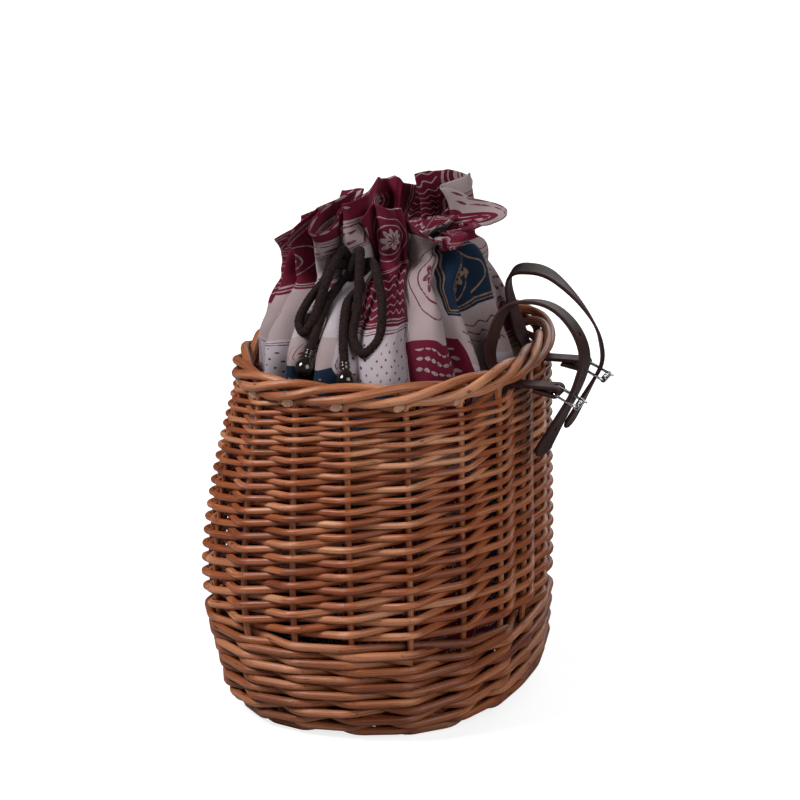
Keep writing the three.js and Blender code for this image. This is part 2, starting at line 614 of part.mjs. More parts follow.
// Drawstring: one cord that runs round the neck and is tied in a bow on the +X side
const cordRadius = CORD_DIAMETER / 2;
const neckRun = grow(NECK, cordRadius + CORD_SEAT);
const knotCentre = V(
  NECK.end + KNOT_SEAT + KNOT_RADIUS * KNOT_FLATTENING, KNOT_SIDEWAYS, NECK_HEIGHT + KNOT_RISE);
const knotTurn = Math.atan2(KNOT_SIDEWAYS, neckRun.end);
const knotHalfTurn = KNOT_RADIUS / 4 / neckRun.end;
const crest = Math.PI / LINER_FOLDS;
const neckAngles = [knotTurn + knotHalfTurn];
for (let i = 0; i < 2 * LINER_FOLDS; i += 1) neckAngles.push(i * crest);
neckAngles.push(2 * Math.PI + knotTurn - knotHalfTurn);
const neckStations = neckAngles.map((angle) => {
  const point = planPoint(angle, neckRun, NECK_HEIGHT);
  point.z += NECK_TILT * point.y;
  return { point, out: V(0, 0, 1), radius: cordRadius };
});
const knot = new THREE.SphereGeometry(KNOT_RADIUS, 8, 6);
knot.scale(KNOT_FLATTENING, 1, 1);
knot.translate(knotCentre.x, knotCentre.y, knotCentre.z);

// Bow points are offsets from the knot: out along x, sideways along y, and up. Each strand leaves
// the knot square to its skin, in a given direction.
const fromKnot = (points) => points.map(([x, y, z]) => knotCentre.clone().add(V(x, y, z)));
function leaveKnot(x, y, z) {
  const way = V(x, y, z).normalize();
  const radii = V(KNOT_RADIUS * KNOT_FLATTENING, KNOT_RADIUS, KNOT_RADIUS);
  const skin = way.clone().multiply(radii).multiply(radii).divideScalar(way.clone().multiply(radii).length());
  return [-CORD_TUCK, CORD_LEAD].map((gap) => skin.clone().addScaledVector(way, gap).toArray());
}
const LOOP_LEFT = [...leaveKnot(0.3, -0.9, 0.35), [19, -26, -10], [30, -34, -26], [42, -34, -42], [47, -24, -47],
  [48, -17, -38], [32, -14, -18], [18, -11, 2], ...leaveKnot(0.4, -0.42, 0.9).reverse()];
const LOOP_RIGHT = [...leaveKnot(0.4, 0.42, 0.9), [18, 12, 0], [34, 16, -32], [48, 18, -52], [56, 28, -63],
  [51, 39, -52], [36, 37, -28], [18, 27, -4], ...leaveKnot(0.3, 0.9, 0.35).reverse()];
const TAIL_LEFT = [...leaveKnot(0.55, -0.45, -0.7), [26, -8, -26], [46, -12, -47], [53, -14, -58]];
const TAIL_RIGHT = [...leaveKnot(0.55, 0.45, -0.7), [28, 6, -28], [48, 9, -49], [58, 13, -64]];
const bowOut = V(1, 0, 0.8);
function bowCord(points, steps) {
  const curve = new THREE.CatmullRomCurve3(fromKnot(points), false, 'centripetal');
  const stations = curve.getPoints(steps).map((point) => ({ point, out: bowOut, radius: cordRadius }));
  return rodSolid(stations, CORD_SIDES);
}
add('drawstring', join([
  rodSolid(neckStations, CORD_SIDES), knot, bowCord(LOOP_LEFT, 14), bowCord(LOOP_RIGHT, 14),
  bowCord(TAIL_LEFT, 6), bowCord(TAIL_RIGHT, 6),
]), cordYarn);

// Bell-shaped cord ends: a collar that takes the cord, flaring to a rounded mouth
function bell(tail) {
  const profile = [
    [0, 0], [BELL_COLLAR_DIAMETER / 2, 0], [BELL_COLLAR_DIAMETER / 2, BELL_LENGTH * 0.25],
    [BELL_MOUTH_DIAMETER / 2 * 0.8, BELL_LENGTH * 0.55], [BELL_MOUTH_DIAMETER / 2, BELL_LENGTH * 0.85],
    [BELL_MOUTH_DIAMETER / 2 * 0.8, BELL_LENGTH], [0, BELL_LENGTH],
  ].map(([r, h]) => new THREE.Vector2(r, h));
  const body = new THREE.LatheGeometry(profile, BELL_SEGMENTS);
  const points = fromKnot(tail);
  const end = points[points.length - 1];
  const way = end.clone().sub(points[points.length - 2]).normalize();
  body.applyQuaternion(new THREE.Quaternion().setFromUnitVectors(V(0, 1, 0), way));
  const seat = end.clone().addScaledVector(way, CORD_SEAT);
  body.translate(seat.x, seat.y, seat.z);
  return body;
}
add('cord_end_left', bell(TAIL_LEFT), hornPlastic);
add('cord_end_right', bell(TAIL_RIGHT), hornPlastic);

export default basket;
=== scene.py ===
# %% [markdown]
# # A wicker bicycle basket
# A willow basket with a belly hangs from a handlebar by two buckled straps and holds a cotton drawstring
# bag. The CAD model already gives every piece its place. This lesson dresses it: each rod gets a round
# section and soft bends, the cloth gets its folds, and every surface gets a finish that shows what it is
# made of.

# %% Load the imported model and bake every part's placing into its mesh
import math
import random

import bmesh
import bpy
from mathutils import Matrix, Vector, noise


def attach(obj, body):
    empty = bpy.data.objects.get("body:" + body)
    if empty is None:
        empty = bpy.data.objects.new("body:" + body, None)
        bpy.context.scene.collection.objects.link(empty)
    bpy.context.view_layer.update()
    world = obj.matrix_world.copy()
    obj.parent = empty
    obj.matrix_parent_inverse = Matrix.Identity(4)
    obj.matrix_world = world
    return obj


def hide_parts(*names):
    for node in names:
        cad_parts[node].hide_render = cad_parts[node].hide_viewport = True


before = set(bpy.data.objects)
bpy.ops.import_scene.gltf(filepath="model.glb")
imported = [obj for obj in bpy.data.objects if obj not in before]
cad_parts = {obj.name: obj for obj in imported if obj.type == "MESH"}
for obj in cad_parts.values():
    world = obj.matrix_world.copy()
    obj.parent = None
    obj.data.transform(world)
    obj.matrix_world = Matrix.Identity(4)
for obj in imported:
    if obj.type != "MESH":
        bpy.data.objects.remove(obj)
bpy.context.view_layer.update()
MM = 0.001
random.seed(7)

# %% [markdown]
# ## The camera
# The photograph was taken from the side, a little above the rim and from far away, so the lens is long. The
# camera aims at a point in the basket's middle, and a small shift puts that point where the picture has it.

# %% Camera at the photograph's angle
VIEW_AZIMUTH = math.radians(106.64)
VIEW_ELEVATION = math.radians(16.3)
VIEW_DISTANCE = 2.621
VIEW_TARGET = Vector((0, 0, 0.135))
PICTURE_WIDTH = 800
SENSOR_WIDTH = 36
PIXELS_PER_METRE = 1328.7
TARGET_PIXEL = (383.5, 507.5)


def linked(name, data):
    """New object in the scene."""
    item = bpy.data.objects.new(name, data)
    bpy.context.scene.collection.objects.link(item)
    return item


camera_data = bpy.data.cameras.new("camera")
camera = linked("camera", camera_data)
towards_camera = Vector((
    math.sin(VIEW_AZIMUTH) * math.cos(VIEW_ELEVATION),
    -math.cos(VIEW_AZIMUTH) * math.cos(VIEW_ELEVATION),
    math.sin(VIEW_ELEVATION),
))
camera.location = VIEW_TARGET + towards_camera * VIEW_DISTANCE
camera.rotation_euler = (-towards_camera).to_track_quat("-Z", "Y").to_euler()
camera_data.sensor_width = SENSOR_WIDTH
camera_data.lens = SENSOR_WIDTH * PIXELS_PER_METRE * VIEW_DISTANCE / PICTURE_WIDTH
camera_data.shift_x = (PICTURE_WIDTH / 2 - TARGET_PIXEL[0]) / PICTURE_WIDTH
camera_data.shift_y = (TARGET_PIXEL[1] - PICTURE_WIDTH / 2) / PICTURE_WIDTH
bpy.context.scene.camera = camera
bpy.context.scene.view_settings.view_transform = "Standard"
print("lens in mm:", round(camera_data.lens, 1))

# %% [markdown]
# ## A bench of small tools
# Rods, cords and wires are all round bars along a line. A curve with a bevel makes such a bar in one step,
# with a UV map that runs along it and round it. Here both are put in metres, so that a grain keeps its
# scale.


# %% Lines: their lengths, smooth curves through points, even steps and soft corners
def runs_along(line):
    """Distance from the start of a line to each of its points."""
    runs = [0]
    for before, after in zip(line, line[1:]):
        runs.append(runs[-1] + (after - before).length)
    return runs


def length_of(line):
    return runs_along(line)[-1]


def locate(runs, run):
    """Index of the step that holds a distance, and how far into that step it is, from 0 to 1."""
    i = 0
    while i < len(runs) - 2 and runs[i + 1] < run:
        i += 1
    return i, (run - runs[i]) / max(runs[i + 1] - runs[i], 1e-9)


def spline(points, steps):
    """Smooth line through points, with knots spaced by the square root of their distances."""
    ends = [2 * points[0] - points[1], *points, 2 * points[-1] - points[-2]]
    line = [points[0].copy()]
    for p0, p1, p2, p3 in zip(ends, ends[1:], ends[2:], ends[3:]):
        t1 = max((p1 - p0).length, 1e-6) ** 0.5
        t2 = t1 + max((p2 - p1).length, 1e-6) ** 0.5
        t3 = t2 + max((p3 - p2).length, 1e-6) ** 0.5
        for step in range(1, steps + 1):
            t = t1 + (t2 - t1) * step / steps
            a1 = p0.lerp(p1, t / t1)
            a2 = p1.lerp(p2, (t - t1) / (t2 - t1))
            a3 = p2.lerp(p3, (t - t2) / (t3 - t2))
            b1 = a1.lerp(a2, t / t2)
            b2 = a2.lerp(a3, (t - t1) / (t3 - t1))
            line.append(b1.lerp(b2, (t - t1) / (t2 - t1)))
    return line


def spaced(line, step):
    """The same line with points an even distance apart."""
    runs = runs_along(line)
    count = max(2, round(runs[-1] / step))
    even = []
    for k in range(count + 1):
        i, share = locate(runs, runs[-1] * k / count)
        even.append(line[i].lerp(line[i + 1], share))
    return even


def rounded(start, corner, end, steps):
    """Points of a soft bend from start to end round a corner."""
    for step in range(steps + 1):
        t = step / steps
        yield start.lerp(corner, t).lerp(corner.lerp(end, t), t)


def ease(value, low, high):
    """Soft step from 0 at low to 1 at high."""
    t = min(max((value - low) / (high - low), 0), 1)
    return t * t * (3 - 2 * t)


# %% Meshes: bars along a line, and pieces that ride on a body
def opened(*meshes):
    """Meshes put together in one shape that can be worked on."""
    shape = bmesh.new()
    for mesh in meshes:
        shape.from_mesh(mesh)
    return shape


def finished(shape, mesh):
    """Writes a shape back to its mesh, or to a new mesh of a given name."""
    if isinstance(mesh, str):
        mesh = bpy.data.meshes.new(mesh)
    shape.to_mesh(mesh)
    shape.free()
    return mesh


def grid(columns, rows):
    """Flat square sheet with sides of 1 round the origin, and its UV map."""
    shape = bmesh.new()
    bmesh.ops.create_grid(shape, x_segments=columns, y_segments=rows, size=0.5, calc_uvs=True)
    return shape, shape.loops.layers.uv.active or shape.loops.layers.uv.new("UVMap")


def mended(shape, gap=0):
    """Merges points that are closer than a gap, and turns all faces outward."""
    if gap:
        bmesh.ops.remove_doubles(shape, verts=shape.verts, dist=gap)
    bmesh.ops.recalc_face_normals(shape, faces=shape.faces)


def joined(name, meshes):
    """One mesh made of several."""
    whole = finished(opened(*meshes), name)
    for mesh in meshes:
        bpy.data.meshes.remove(mesh)
    return whole


def tube(name, points, radii, sides=10, cyclic=False):
    """Mesh of a round bar along points. Points and radii are in millimetres."""
    curve = bpy.data.curves.new(name, "CURVE")
    curve.dimensions = "3D"
    curve.bevel_depth = MM
    curve.bevel_resolution = sides // 2 - 2
    curve.use_fill_caps = not cyclic
    line = curve.splines.new("POLY")
    line.points.add(len(points) - 1)
    line.use_cyclic_u = cyclic
    for knot, point, radius in zip(line.points, points, radii):
        knot.co = (*(MM * point), 1)
        knot.radius = radius
    holder = bpy.data.objects.new(name, curve)
    mesh = bpy.data.meshes.new_from_object(holder)
    bpy.data.objects.remove(holder)
    bpy.data.curves.remove(curve)
    length = MM * length_of(points)
    girth = MM * 2 * math.pi * sum(radii) / len(radii)
    start = random.uniform(0, 40)
    shape = opened(mesh)
    mended(shape, 1e-6)
    uv = shape.loops.layers.uv.active
    for face in shape.faces:
        face.smooth = len(face.verts) == 4
        for corner in face.loops:
            along, around = corner[uv].uv
            corner[uv].uv = (start + along * length, around * girth)
    return finished(shape, mesh)


def place(mesh, name, body, slot, *stands_for):
    """Object for a finished mesh that rides on a CAD body and stands for CAD nodes."""
    mesh.name = name
    piece = linked(name + "_look", mesh)
    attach(piece, body)
    if stands_for:
        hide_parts(*stands_for)
    return piece


# %% [markdown]
# ## The drawstring
# The cord is a knitted tube, about 6.5 mm thick, tied in a bow at the neck of the bag. Each strand's route
# starts inside the knot. The stitches are modelled: they stand in a brick pattern and push the cord's skin
# out.

# %% Routes of the bow
NECK_HEIGHT = 333
NECK = (48, 58, 62)
KNOT_RADII = Vector((6.75, 9, 9))
KNOT = Vector((NECK[0] + 1 + KNOT_RADII.x, -6, NECK_HEIGHT - 2))
KNOT_SINK = 3
KNOT_LEAD = 7
CORD_RADIUS = 3.25
CORD_STEP = 0.45
STITCHES_ROUND = 7
STITCH_LENGTH = 3.2
STITCH_HEIGHT = 0.5


def leave_knot(x, y, z):
    """Two points of a strand that leaves the knot in a direction: under its skin and outside it."""
    way = Vector((x, y, z)).normalized()
    skin = Vector(w * r * r for w, r in zip(way, KNOT_RADII))
    skin /= Vector(w * r for w, r in zip(way, KNOT_RADII)).length
    return [skin - KNOT_SINK * way, skin + KNOT_LEAD * way]


def from_knot(start, *rest, end=None):
    offsets = leave_knot(*start) + [Vector(p) for p in rest]
    if end:
        offsets += reversed(leave_knot(*end))
    return spaced(spline([KNOT + p for p in offsets], 10), CORD_STEP)


BOW = {
    "loop_left": from_knot((0.3, -0.9, 0.35), (17, -16, -6), (28, -25, -20), (39, -29, -34), (44, -24, -40),
                           (44, -18, -33), (31, -14, -14), (17, -10, 4), end=(0.4, -0.42, 0.9)),
    "loop_right": from_knot((0.4, 0.42, 0.9), (18, 10, 2), (33, 13, -22), (46, 14, -41), (53, 23, -50),
                            (49, 33, -41), (35, 32, -20), (18, 23, 0), end=(0.3, 0.9, 0.35)),
    "tail_left": from_knot((0.55, -0.45, -0.7), (26, -10, -18), (46, -14, -39), (53, -16, -50)),
    "tail_right": from_knot((0.55, 0.45, -0.7), (28, 4, -20), (48, 7, -41), (58, 11, -56)),
}


def knitted(name, line, cyclic=False):
    """Cord whose skin stands out in a brick pattern of stitches."""
    core = CORD_RADIUS - STITCH_HEIGHT / 2
    mesh = tube(name, line, [core] * len(line), sides=28, cyclic=cyclic)
    girth = MM * 2 * math.pi * core
    shape = opened(mesh)
    uv = shape.loops.layers.uv.active
    moves = []
    for vert in shape.verts:
        along, around = vert.link_loops[0][uv].uv
        rib = math.cos(2 * math.pi * STITCHES_ROUND * around / girth)
        row = math.cos(2 * math.pi * along / (STITCH_LENGTH * MM))
        moves.append(STITCH_HEIGHT * MM * (0.5 + 0.5 * rib * row))
    shape.normal_update()
    for vert, move in zip(shape.verts, moves):
        vert.co += vert.normal * move
    return finished(shape, mesh)


cords = {}
for strand, line in BOW.items():
    mesh = knitted(strand, line)
    cords[strand] = place(mesh, "drawstring_" + strand, "liner", "drawstring_knit", "drawstring")
    print("drawstring", strand, "is", round(length_of(line)), "mm long")

# %% The knot
WRAP_STEPS = 90
CROSSING = [(-2, -10, 0), (3.5, -6.5, 3), (4.5, 0, 0), (3.5, 6.5, -3), (-2, 10, 0)]

wrap = []
for k in range(WRAP_STEPS):
    a = 2 * math.pi * k / WRAP_STEPS
    wrap.append(KNOT + Vector((1 + 7 * math.cos(a), 2.2 * math.sin(a + 0.6), 7.4 * math.sin(a))))
cross = spaced(spline([KNOT + Vector(p) for p in CROSSING], 12), CORD_STEP)
knot_mesh = joined("drawstring_knot", [knitted("wrap", wrap, cyclic=True), knitted("cross", cross)])
knot = place(knot_mesh, "drawstring_knot", "liner", "drawstring_knit", "drawstring")

# %% [markdown]
# ## The bells on the cord ends
# Each end is a turned bell: a grooved collar grips the cord, and the bell flares to a rounded lip with a
# hollow mouth. Turned things are made by spinning a profile round their axis.

# %% Spin a bell and seat it on each tail
BELL_PROFILE = [(0, 0), (0, 3.4), (0.5, 3.9), (1.4, 4.0), (2.0, 3.6), (2.6, 3.6), (3.2, 4.0), (4.2, 4.0),
                (5.0, 3.4), (6.0, 3.3), (7.4, 4.2), (9.4, 5.7), (11.6, 6.7), (13.8, 7.0), (15.8, 6.8),
                (17.4, 6.0), (18.5, 4.8), (19.0, 3.6), (18.8, 3.0), (18.0, 2.6), (16.5, 0)]
BELL_GAP = 0.3


def turned(name, profile, seat, way, steps=32):
    """Solid of revolution: profile points are (distance along the axis, radius) in millimetres."""
    side = way.orthogonal().normalized()
    shape = bmesh.new()
    verts = [shape.verts.new(MM * (seat + way * run + side * radius)) for run, radius in profile]
    edges = [shape.edges.new(pair) for pair in zip(verts, verts[1:])]
    bmesh.ops.spin(shape, geom=verts + edges, cent=MM * seat, axis=way, angle=2 * math.pi, steps=steps,
                   use_merge=True)
    mended(shape, 2e-6)
    for face in shape.faces:
        face.smooth = True
    return finished(shape, name)


bells = {}
for side in ("left", "right"):
    line = BOW["tail_" + side]
    heading = (line[-1] - line[-9]).normalized()
    mesh = turned("bell", BELL_PROFILE, line[-1] + BELL_GAP * heading, heading)
    bells[side] = place(mesh, "cord_end_" + side, "liner", "cord_end_plastic", "cord_end_" + side)

for strand, piece in cords.items():
    side = strand.split("_")[1]

# %% [markdown]
# ## The wall that every rod follows
# The basket's plan is an oval, whose size is given at four heights and flows smoothly between them. A level
# is the distance climbed from the edge of the base: first round the heel, then straight up. The upright
# rods, called stakes, are spread evenly round the belly.

# %% Plan, levels and stakes
HEEL_RADIUS = 26
FOOT_HEIGHT = 6
HEEL_TOP = FOOT_HEIGHT + HEEL_RADIUS
HEEL_CLIMB = HEEL_RADIUS * math.pi / 2
RIM_HEIGHT = 262
WALL = [(HEEL_TOP, (143, 106, 112)), (90, (146, 121, 115)), (165, (151, 113, 114)),
        (RIM_HEIGHT, (154, 89, 113))]
FRONT_SQUARENESS = 2.5
BACK_SQUARENESS = 2.45
STAKE_COUNT = 20
STAKE_RADIUS = 2.4
HALF_BELT_STEPS = 360
NUDGE = 0.04


def flow(position, stops):
    """Value of a smooth curve through (position, value) stops."""
    def slope(i):
        a = stops[max(i - 1, 0)]
        b = stops[min(i + 1, len(stops) - 1)]
        return (b[1] - a[1]) / (b[0] - a[0])
    i = 0
    while i < len(stops) - 2 and position > stops[i + 1][0]:
        i += 1
    (x0, y0), (x1, y1) = stops[i], stops[i + 1]
    span = x1 - x0
    t = (position - x0) / span
    rise = (t ** 3 - 2 * t * t + t) * span * slope(i) + (t ** 3 - t * t) * span * slope(i + 1)
    return (2 * t ** 3 - 3 * t * t + 1) * y0 + (3 * t * t - 2 * t ** 3) * y1 + rise


def size_at(height, levels):
    return [flow(height, [(z, size[k]) for z, size in levels]) for k in range(3)]


def plan_point(angle, size, z):
    """Point of the oval: size is the reach to the ends, the front and the back."""
    c = math.cos(angle)
    s = math.sin(angle)
    power = 2 / (FRONT_SQUARENESS if s < 0 else BACK_SQUARENESS)
    reach = size[1] if s < 0 else size[2]
    x = size[0] * math.copysign(abs(c) ** power, c)
    return Vector((x, reach * math.copysign(abs(s) ** power, s), z))


def level_of(z):
    return z - HEEL_TOP + HEEL_CLIMB


def belt_angle(step):
    return math.pi / 2 + step * math.pi / HALF_BELT_STEPS


belt_run = runs_along([plan_point(belt_angle(i), WALL[1][1], 0) for i in range(2 * HALF_BELT_STEPS + 1)])


def stake_angle(index):
    turns = math.floor((index + 0.5) / STAKE_COUNT)
    i, share = locate(belt_run, ((index + 0.5) / STAKE_COUNT - turns) * belt_run[-1])
    return belt_angle(i + share) + turns * 2 * math.pi


def wall_point(index, level):
    if level >= HEEL_CLIMB:
        z = level - HEEL_CLIMB + HEEL_TOP
        return plan_point(stake_angle(index), size_at(z, WALL), z)
    swing = level / HEEL_RADIUS
    inset = HEEL_RADIUS * (1 - math.sin(swing))
    size = [reach - inset for reach in WALL[0][1]]
    return plan_point(stake_angle(index), size, FOOT_HEIGHT + HEEL_RADIUS * (1 - math.cos(swing)))


def wall_normal(index, level):
    across = wall_point(index + NUDGE, level) - wall_point(index - NUDGE, level)
    up = wall_point(index, level + 1) - wall_point(index, max(level - 1, 0))
    return across.cross(up).normalized()


print("one bay at the belly is", round(belt_run[-1] / STAKE_COUNT, 1), "mm wide")

# %% [markdown]
# ## Rods that pass in front of and behind the stakes
# A woven rod is nearly straight from stake to stake and bends only where it passes one. So each rod is a
# line with one corner per stake, outside or inside, and every corner is rounded. Rounding cuts the corner,
# so the corner itself stands a little further out than the rod should go.

# %% Passing points and soft corners
ROW_GAP = 0.55
WEAVE_FIT = 0.35
CORNER_SHARE = 0.2
UNEVEN = 0.05


def pass_stake(index, level, side, radius, cut=CORNER_SHARE):
    """Corner of a rod at a stake: side is 1 outside and -1 inside."""
    here = wall_point(index, level)
    square = wall_normal(index, level)
    out = square.copy()
    if level > HEEL_CLIMB:
        out.z = 0
        out.normalize()
    clear = (STAKE_RADIUS + radius + WEAVE_FIT) / out.dot(square)
    return here + out * (side * clear / (1 - cut))


def woven(name, slot, corners, radii):
    """Piece for a rod with rounded corners and a slightly uneven thickness."""
    line = [corners[0]]
    sizes = [radii[0]]
    for before, corner, after, radius in zip(corners, corners[1:], corners[2:], radii[1:]):
        start = corner.lerp(before, CORNER_SHARE)
        end = corner.lerp(after, CORNER_SHARE)
        for spot in rounded(start, corner, end, 4):
            line.append(spot)
            sizes.append(radius * (1 + UNEVEN * noise.noise(spot * 0.03)))
    line.append(corners[-1])
    sizes.append(radii[-1])
    return place(tube(name, line, sizes), name, "basket", slot, name)


def wander(key, amount):
    """Small steady error of a hand at work."""
    return amount * noise.noise(Vector((key * 0.731, key * 0.377 + 5.1, 3.3)))


# %% [markdown]
# ## The wale
# Three rods wind together round the heel and the foot of the wall. Each passes in front of two stakes and
# behind one, which locks the stakes in place. The rounds are level, and each steps up to the next at the
# back. At every stake the two rods in front move apart a little, so that the one behind shows.

# %% Three wale rods
WALE_RADIUS = 2.85
WALE_RODS = 3
WALE_ROUNDS = 6
WALE_COURSES = 11
WALE_STEP_BAYS = 4
WALE_FIT = 0.5
WALE_CUT = 0.14
WALE_SWELL = 1.1
WALE_END = 0.7
SPREAD = (0, -0.25, 0.25)
wale_reach = HEEL_RADIUS + STAKE_RADIUS + WALE_RADIUS + WALE_FIT
WALE_START = HEEL_RADIUS * math.acos((HEEL_TOP - WALE_RADIUS - ROW_GAP) / wale_reach)
WALE_HEIGHT = WALE_COURSES * (2 * WALE_RADIUS + ROW_GAP)
WALE_TOP = WALE_START + WALE_HEIGHT
WALE_PITCH = WALE_HEIGHT / (WALE_RODS * WALE_ROUNDS - 1)
last_stake = STAKE_COUNT * WALE_ROUNDS - WALE_STEP_BAYS

wale = []
for k in range(WALE_RODS):
    corners = []
    for i in range(k + 1 - WALE_RODS, last_stake + k + 1):
        done = max(0, i // STAKE_COUNT)
        step = max(0, i - (done + 1) * STAKE_COUNT + WALE_STEP_BAYS) / WALE_STEP_BAYS
        row = k + WALE_RODS * (done + (step if i <= last_stake else 0))
        state = (i % STAKE_COUNT + k) % WALE_RODS
        level = WALE_START + WALE_PITCH * (row + SPREAD[state]) + wander(i + 100 * k, 0.6)
        corners.append(pass_stake(i, max(level, WALE_START), 1 if state else -1, WALE_RADIUS, WALE_CUT))
    radii = [WALE_RADIUS * (WALE_SWELL + wander(7 * i + k, 0.1)) for i in range(len(corners))]
    radii[0] = radii[-1] = WALE_RADIUS * WALE_END
    wale.append(woven(f"wale_rod_{k + 1}", "willow_wale", corners, radii))
print("wale rods:", len(wale))

# %% [markdown]
# ## The side weave
# This weave is French randing. One weaver starts behind every stake with its thick end, all of them climb
# one row at each stake, and each goes in turn behind and in front. The rods thin out, so the rows close up.

# %% Twenty weavers
BUTT_RADIUS = 2.8
TIP_RADIUS = 1.4
BUTT_SWELL = 1.06
TIP_SWELL = 1.24
WEAVE_GAP = 0.15
ROW_LIFT = 5.0
ROW_FREEDOM = {0: 0, 1: 0, 18: 0, 19: 0, 2: 0.6, 17: 0.6}
BORDER_HALF_WIDTH = 4.6
BORDER_HALF_HEIGHT = 5
BORDER_END_DROP = 2.9
BORDER_BOTTOM = RIM_HEIGHT - BORDER_HALF_HEIGHT
STRAP_THICKNESS = 2.6
STRAP_FIT = 0.6
ROD_TUCK = 0.18
TIP_DROP = 1.5
SLOT_HEIGHT = BORDER_BOTTOM - BORDER_END_DROP - STAKE_RADIUS - STRAP_FIT - STRAP_THICKNESS / 2
WEAVE_BOTTOM = WALE_TOP + WALE_RADIUS + BUTT_RADIUS
WEAVE_TOP = level_of(SLOT_HEIGHT - STRAP_THICKNESS / 2 - STRAP_FIT - TIP_RADIUS)
mean_pitch = BUTT_RADIUS + TIP_RADIUS + WEAVE_GAP
ROW_COUNT = 2 * math.floor((WEAVE_TOP - WEAVE_BOTTOM) / mean_pitch / 2) + 1


def weave_level(row):
    share = row / (ROW_COUNT - 1)
    taper = (BUTT_RADIUS - TIP_RADIUS) / mean_pitch
    return WEAVE_BOTTOM + (WEAVE_TOP - WEAVE_BOTTOM) * share * (1 + taper * (1 - share))


def squeeze(stake, row):
    """The top rows are beaten up against the border, except where the straps pass below it."""
    free = ROW_FREEDOM.get(stake % STAKE_COUNT, 1)
    return ROW_LIFT * free * (row / (ROW_COUNT - 1)) ** 2.5


weavers = []
for j in range(STAKE_COUNT):
    girth = 1 + wander(11 * j, 0.12)
    corners = [pass_stake(j - ROD_TUCK, weave_level(0), -1, BUTT_RADIUS)]
    radii = [BUTT_RADIUS * BUTT_SWELL]
    for row in range(ROW_COUNT):
        share = row / (ROW_COUNT - 1)
        radius = BUTT_RADIUS + (TIP_RADIUS - BUTT_RADIUS) * share
        level = weave_level(row) + wander(37 * j + row, 1.0) + squeeze(j + row, row)
        corners.append(pass_stake(j + row, level, 1 if row % 2 else -1, radius))
        radii.append(girth * radius * (BUTT_SWELL + (TIP_SWELL - BUTT_SWELL) * share))
    last = j + ROW_COUNT - 1
    top = weave_level(ROW_COUNT - 1) + squeeze(last, ROW_COUNT - 1)
    corners.append(pass_stake(last + ROD_TUCK, top - TIP_DROP, -1, TIP_RADIUS))
    radii.append(TIP_RADIUS)
    weavers.append(woven(f"weaver_{j + 1:02d}", "willow_weaver", corners, radii))
print("rows of weave:", ROW_COUNT)

# %% [markdown]
# ## Stakes and border
# A stake grows out of the base, bends round the heel and climbs the wall. At the top it is laid along the
# rim: up the outside, over the top, down inside, and out again below its neighbours, where a plane slices
# its end off on the slant. All the stakes together make the rope-like border.

# %% Twenty stakes turned down into the border
SOCKET_DEPTH = 13
CLIMB_STEP = 20.5
CLIMB_COUNT = 11
BASE_PLAN = [reach - HEEL_RADIUS for reach in WALL[0][1]]
RIM_LINE = size_at(BORDER_BOTTOM, WALL)
BORDER_RADIUS = 3.3
BORDER_PATH = [
    (0.0, 0.0, -8.0), (0.45, 3.6, -5.8), (1.0, 4.9, -2.2), (1.5, 3.6, 2.6), (2.0, 0.0, 5.0),
    (2.5, -3.4, 3.4), (3.0, -4.6, -0.8), (3.3, -4.2, -4.8), (3.5, -2.4, -7.4), (3.72, 1.4, -8.8),
    (3.92, 5.0, -9.2),
]
STRAP_BAYS = (18, 19, 0, 1)
STRAP_LIFT = 2.4
THICKENING = (246, 258)
END_POINTS = 12
CUT_BACK = 3.2
CUT_REACH = 0.02


def stake_line(i):
    """Line of a stake from its socket to its cut end, and the outward direction at that end."""
    root = wall_point(i, 0)
    ahead = plan_point(stake_angle(i + NUDGE), BASE_PLAN, 0)
    across = ahead - plan_point(stake_angle(i - NUDGE), BASE_PLAN, 0)
    points = [root - SOCKET_DEPTH * across.cross(Vector((0, 0, 1))).normalized()]
    levels = [0, HEEL_CLIMB / 3, HEEL_CLIMB * 2 / 3]
    levels += [HEEL_CLIMB + k * CLIMB_STEP for k in range(CLIMB_COUNT)]
    points += [wall_point(i, level) for level in levels]
    for u, width, rise in BORDER_PATH:
        out = wall_normal(i + u, level_of(RIM_HEIGHT))
        out.z = 0
        if u > 3.4 and round(i + u) % STAKE_COUNT in STRAP_BAYS:
            rise += STRAP_LIFT
        spot = plan_point(stake_angle(i + u), RIM_LINE, RIM_HEIGHT + rise)
        points.append(spot + out.normalized() * (width + wander(i * 9 + u, 0.5)))
    return spline(points, 4), out


def slant_cut(mesh, end, along, out):
    """Slices the rod's end on the slant and gives the cut the second material."""
    plane = (along * 0.4 + out * 0.9 - Vector((0, 0, 0.2))).normalized()
    middle = MM * (end - along * CUT_BACK)
    shape = opened(mesh)
    near = [v for v in shape.verts if (v.co - middle).length < CUT_REACH]
    inside = set(near)
    faces = [f for f in shape.faces if inside.issuperset(f.verts)]
    edges = list({e for f in faces for e in f.edges})
    bmesh.ops.bisect_plane(shape, geom=near + edges + faces, plane_co=middle, plane_no=plane,
                           clear_outer=True)
    made = bmesh.ops.contextual_create(shape, geom=[e for e in shape.edges if e.is_boundary])
    for face in made["faces"]:
        face.material_index = 1
        face.smooth = False
    mended(shape)
    finished(shape, mesh)


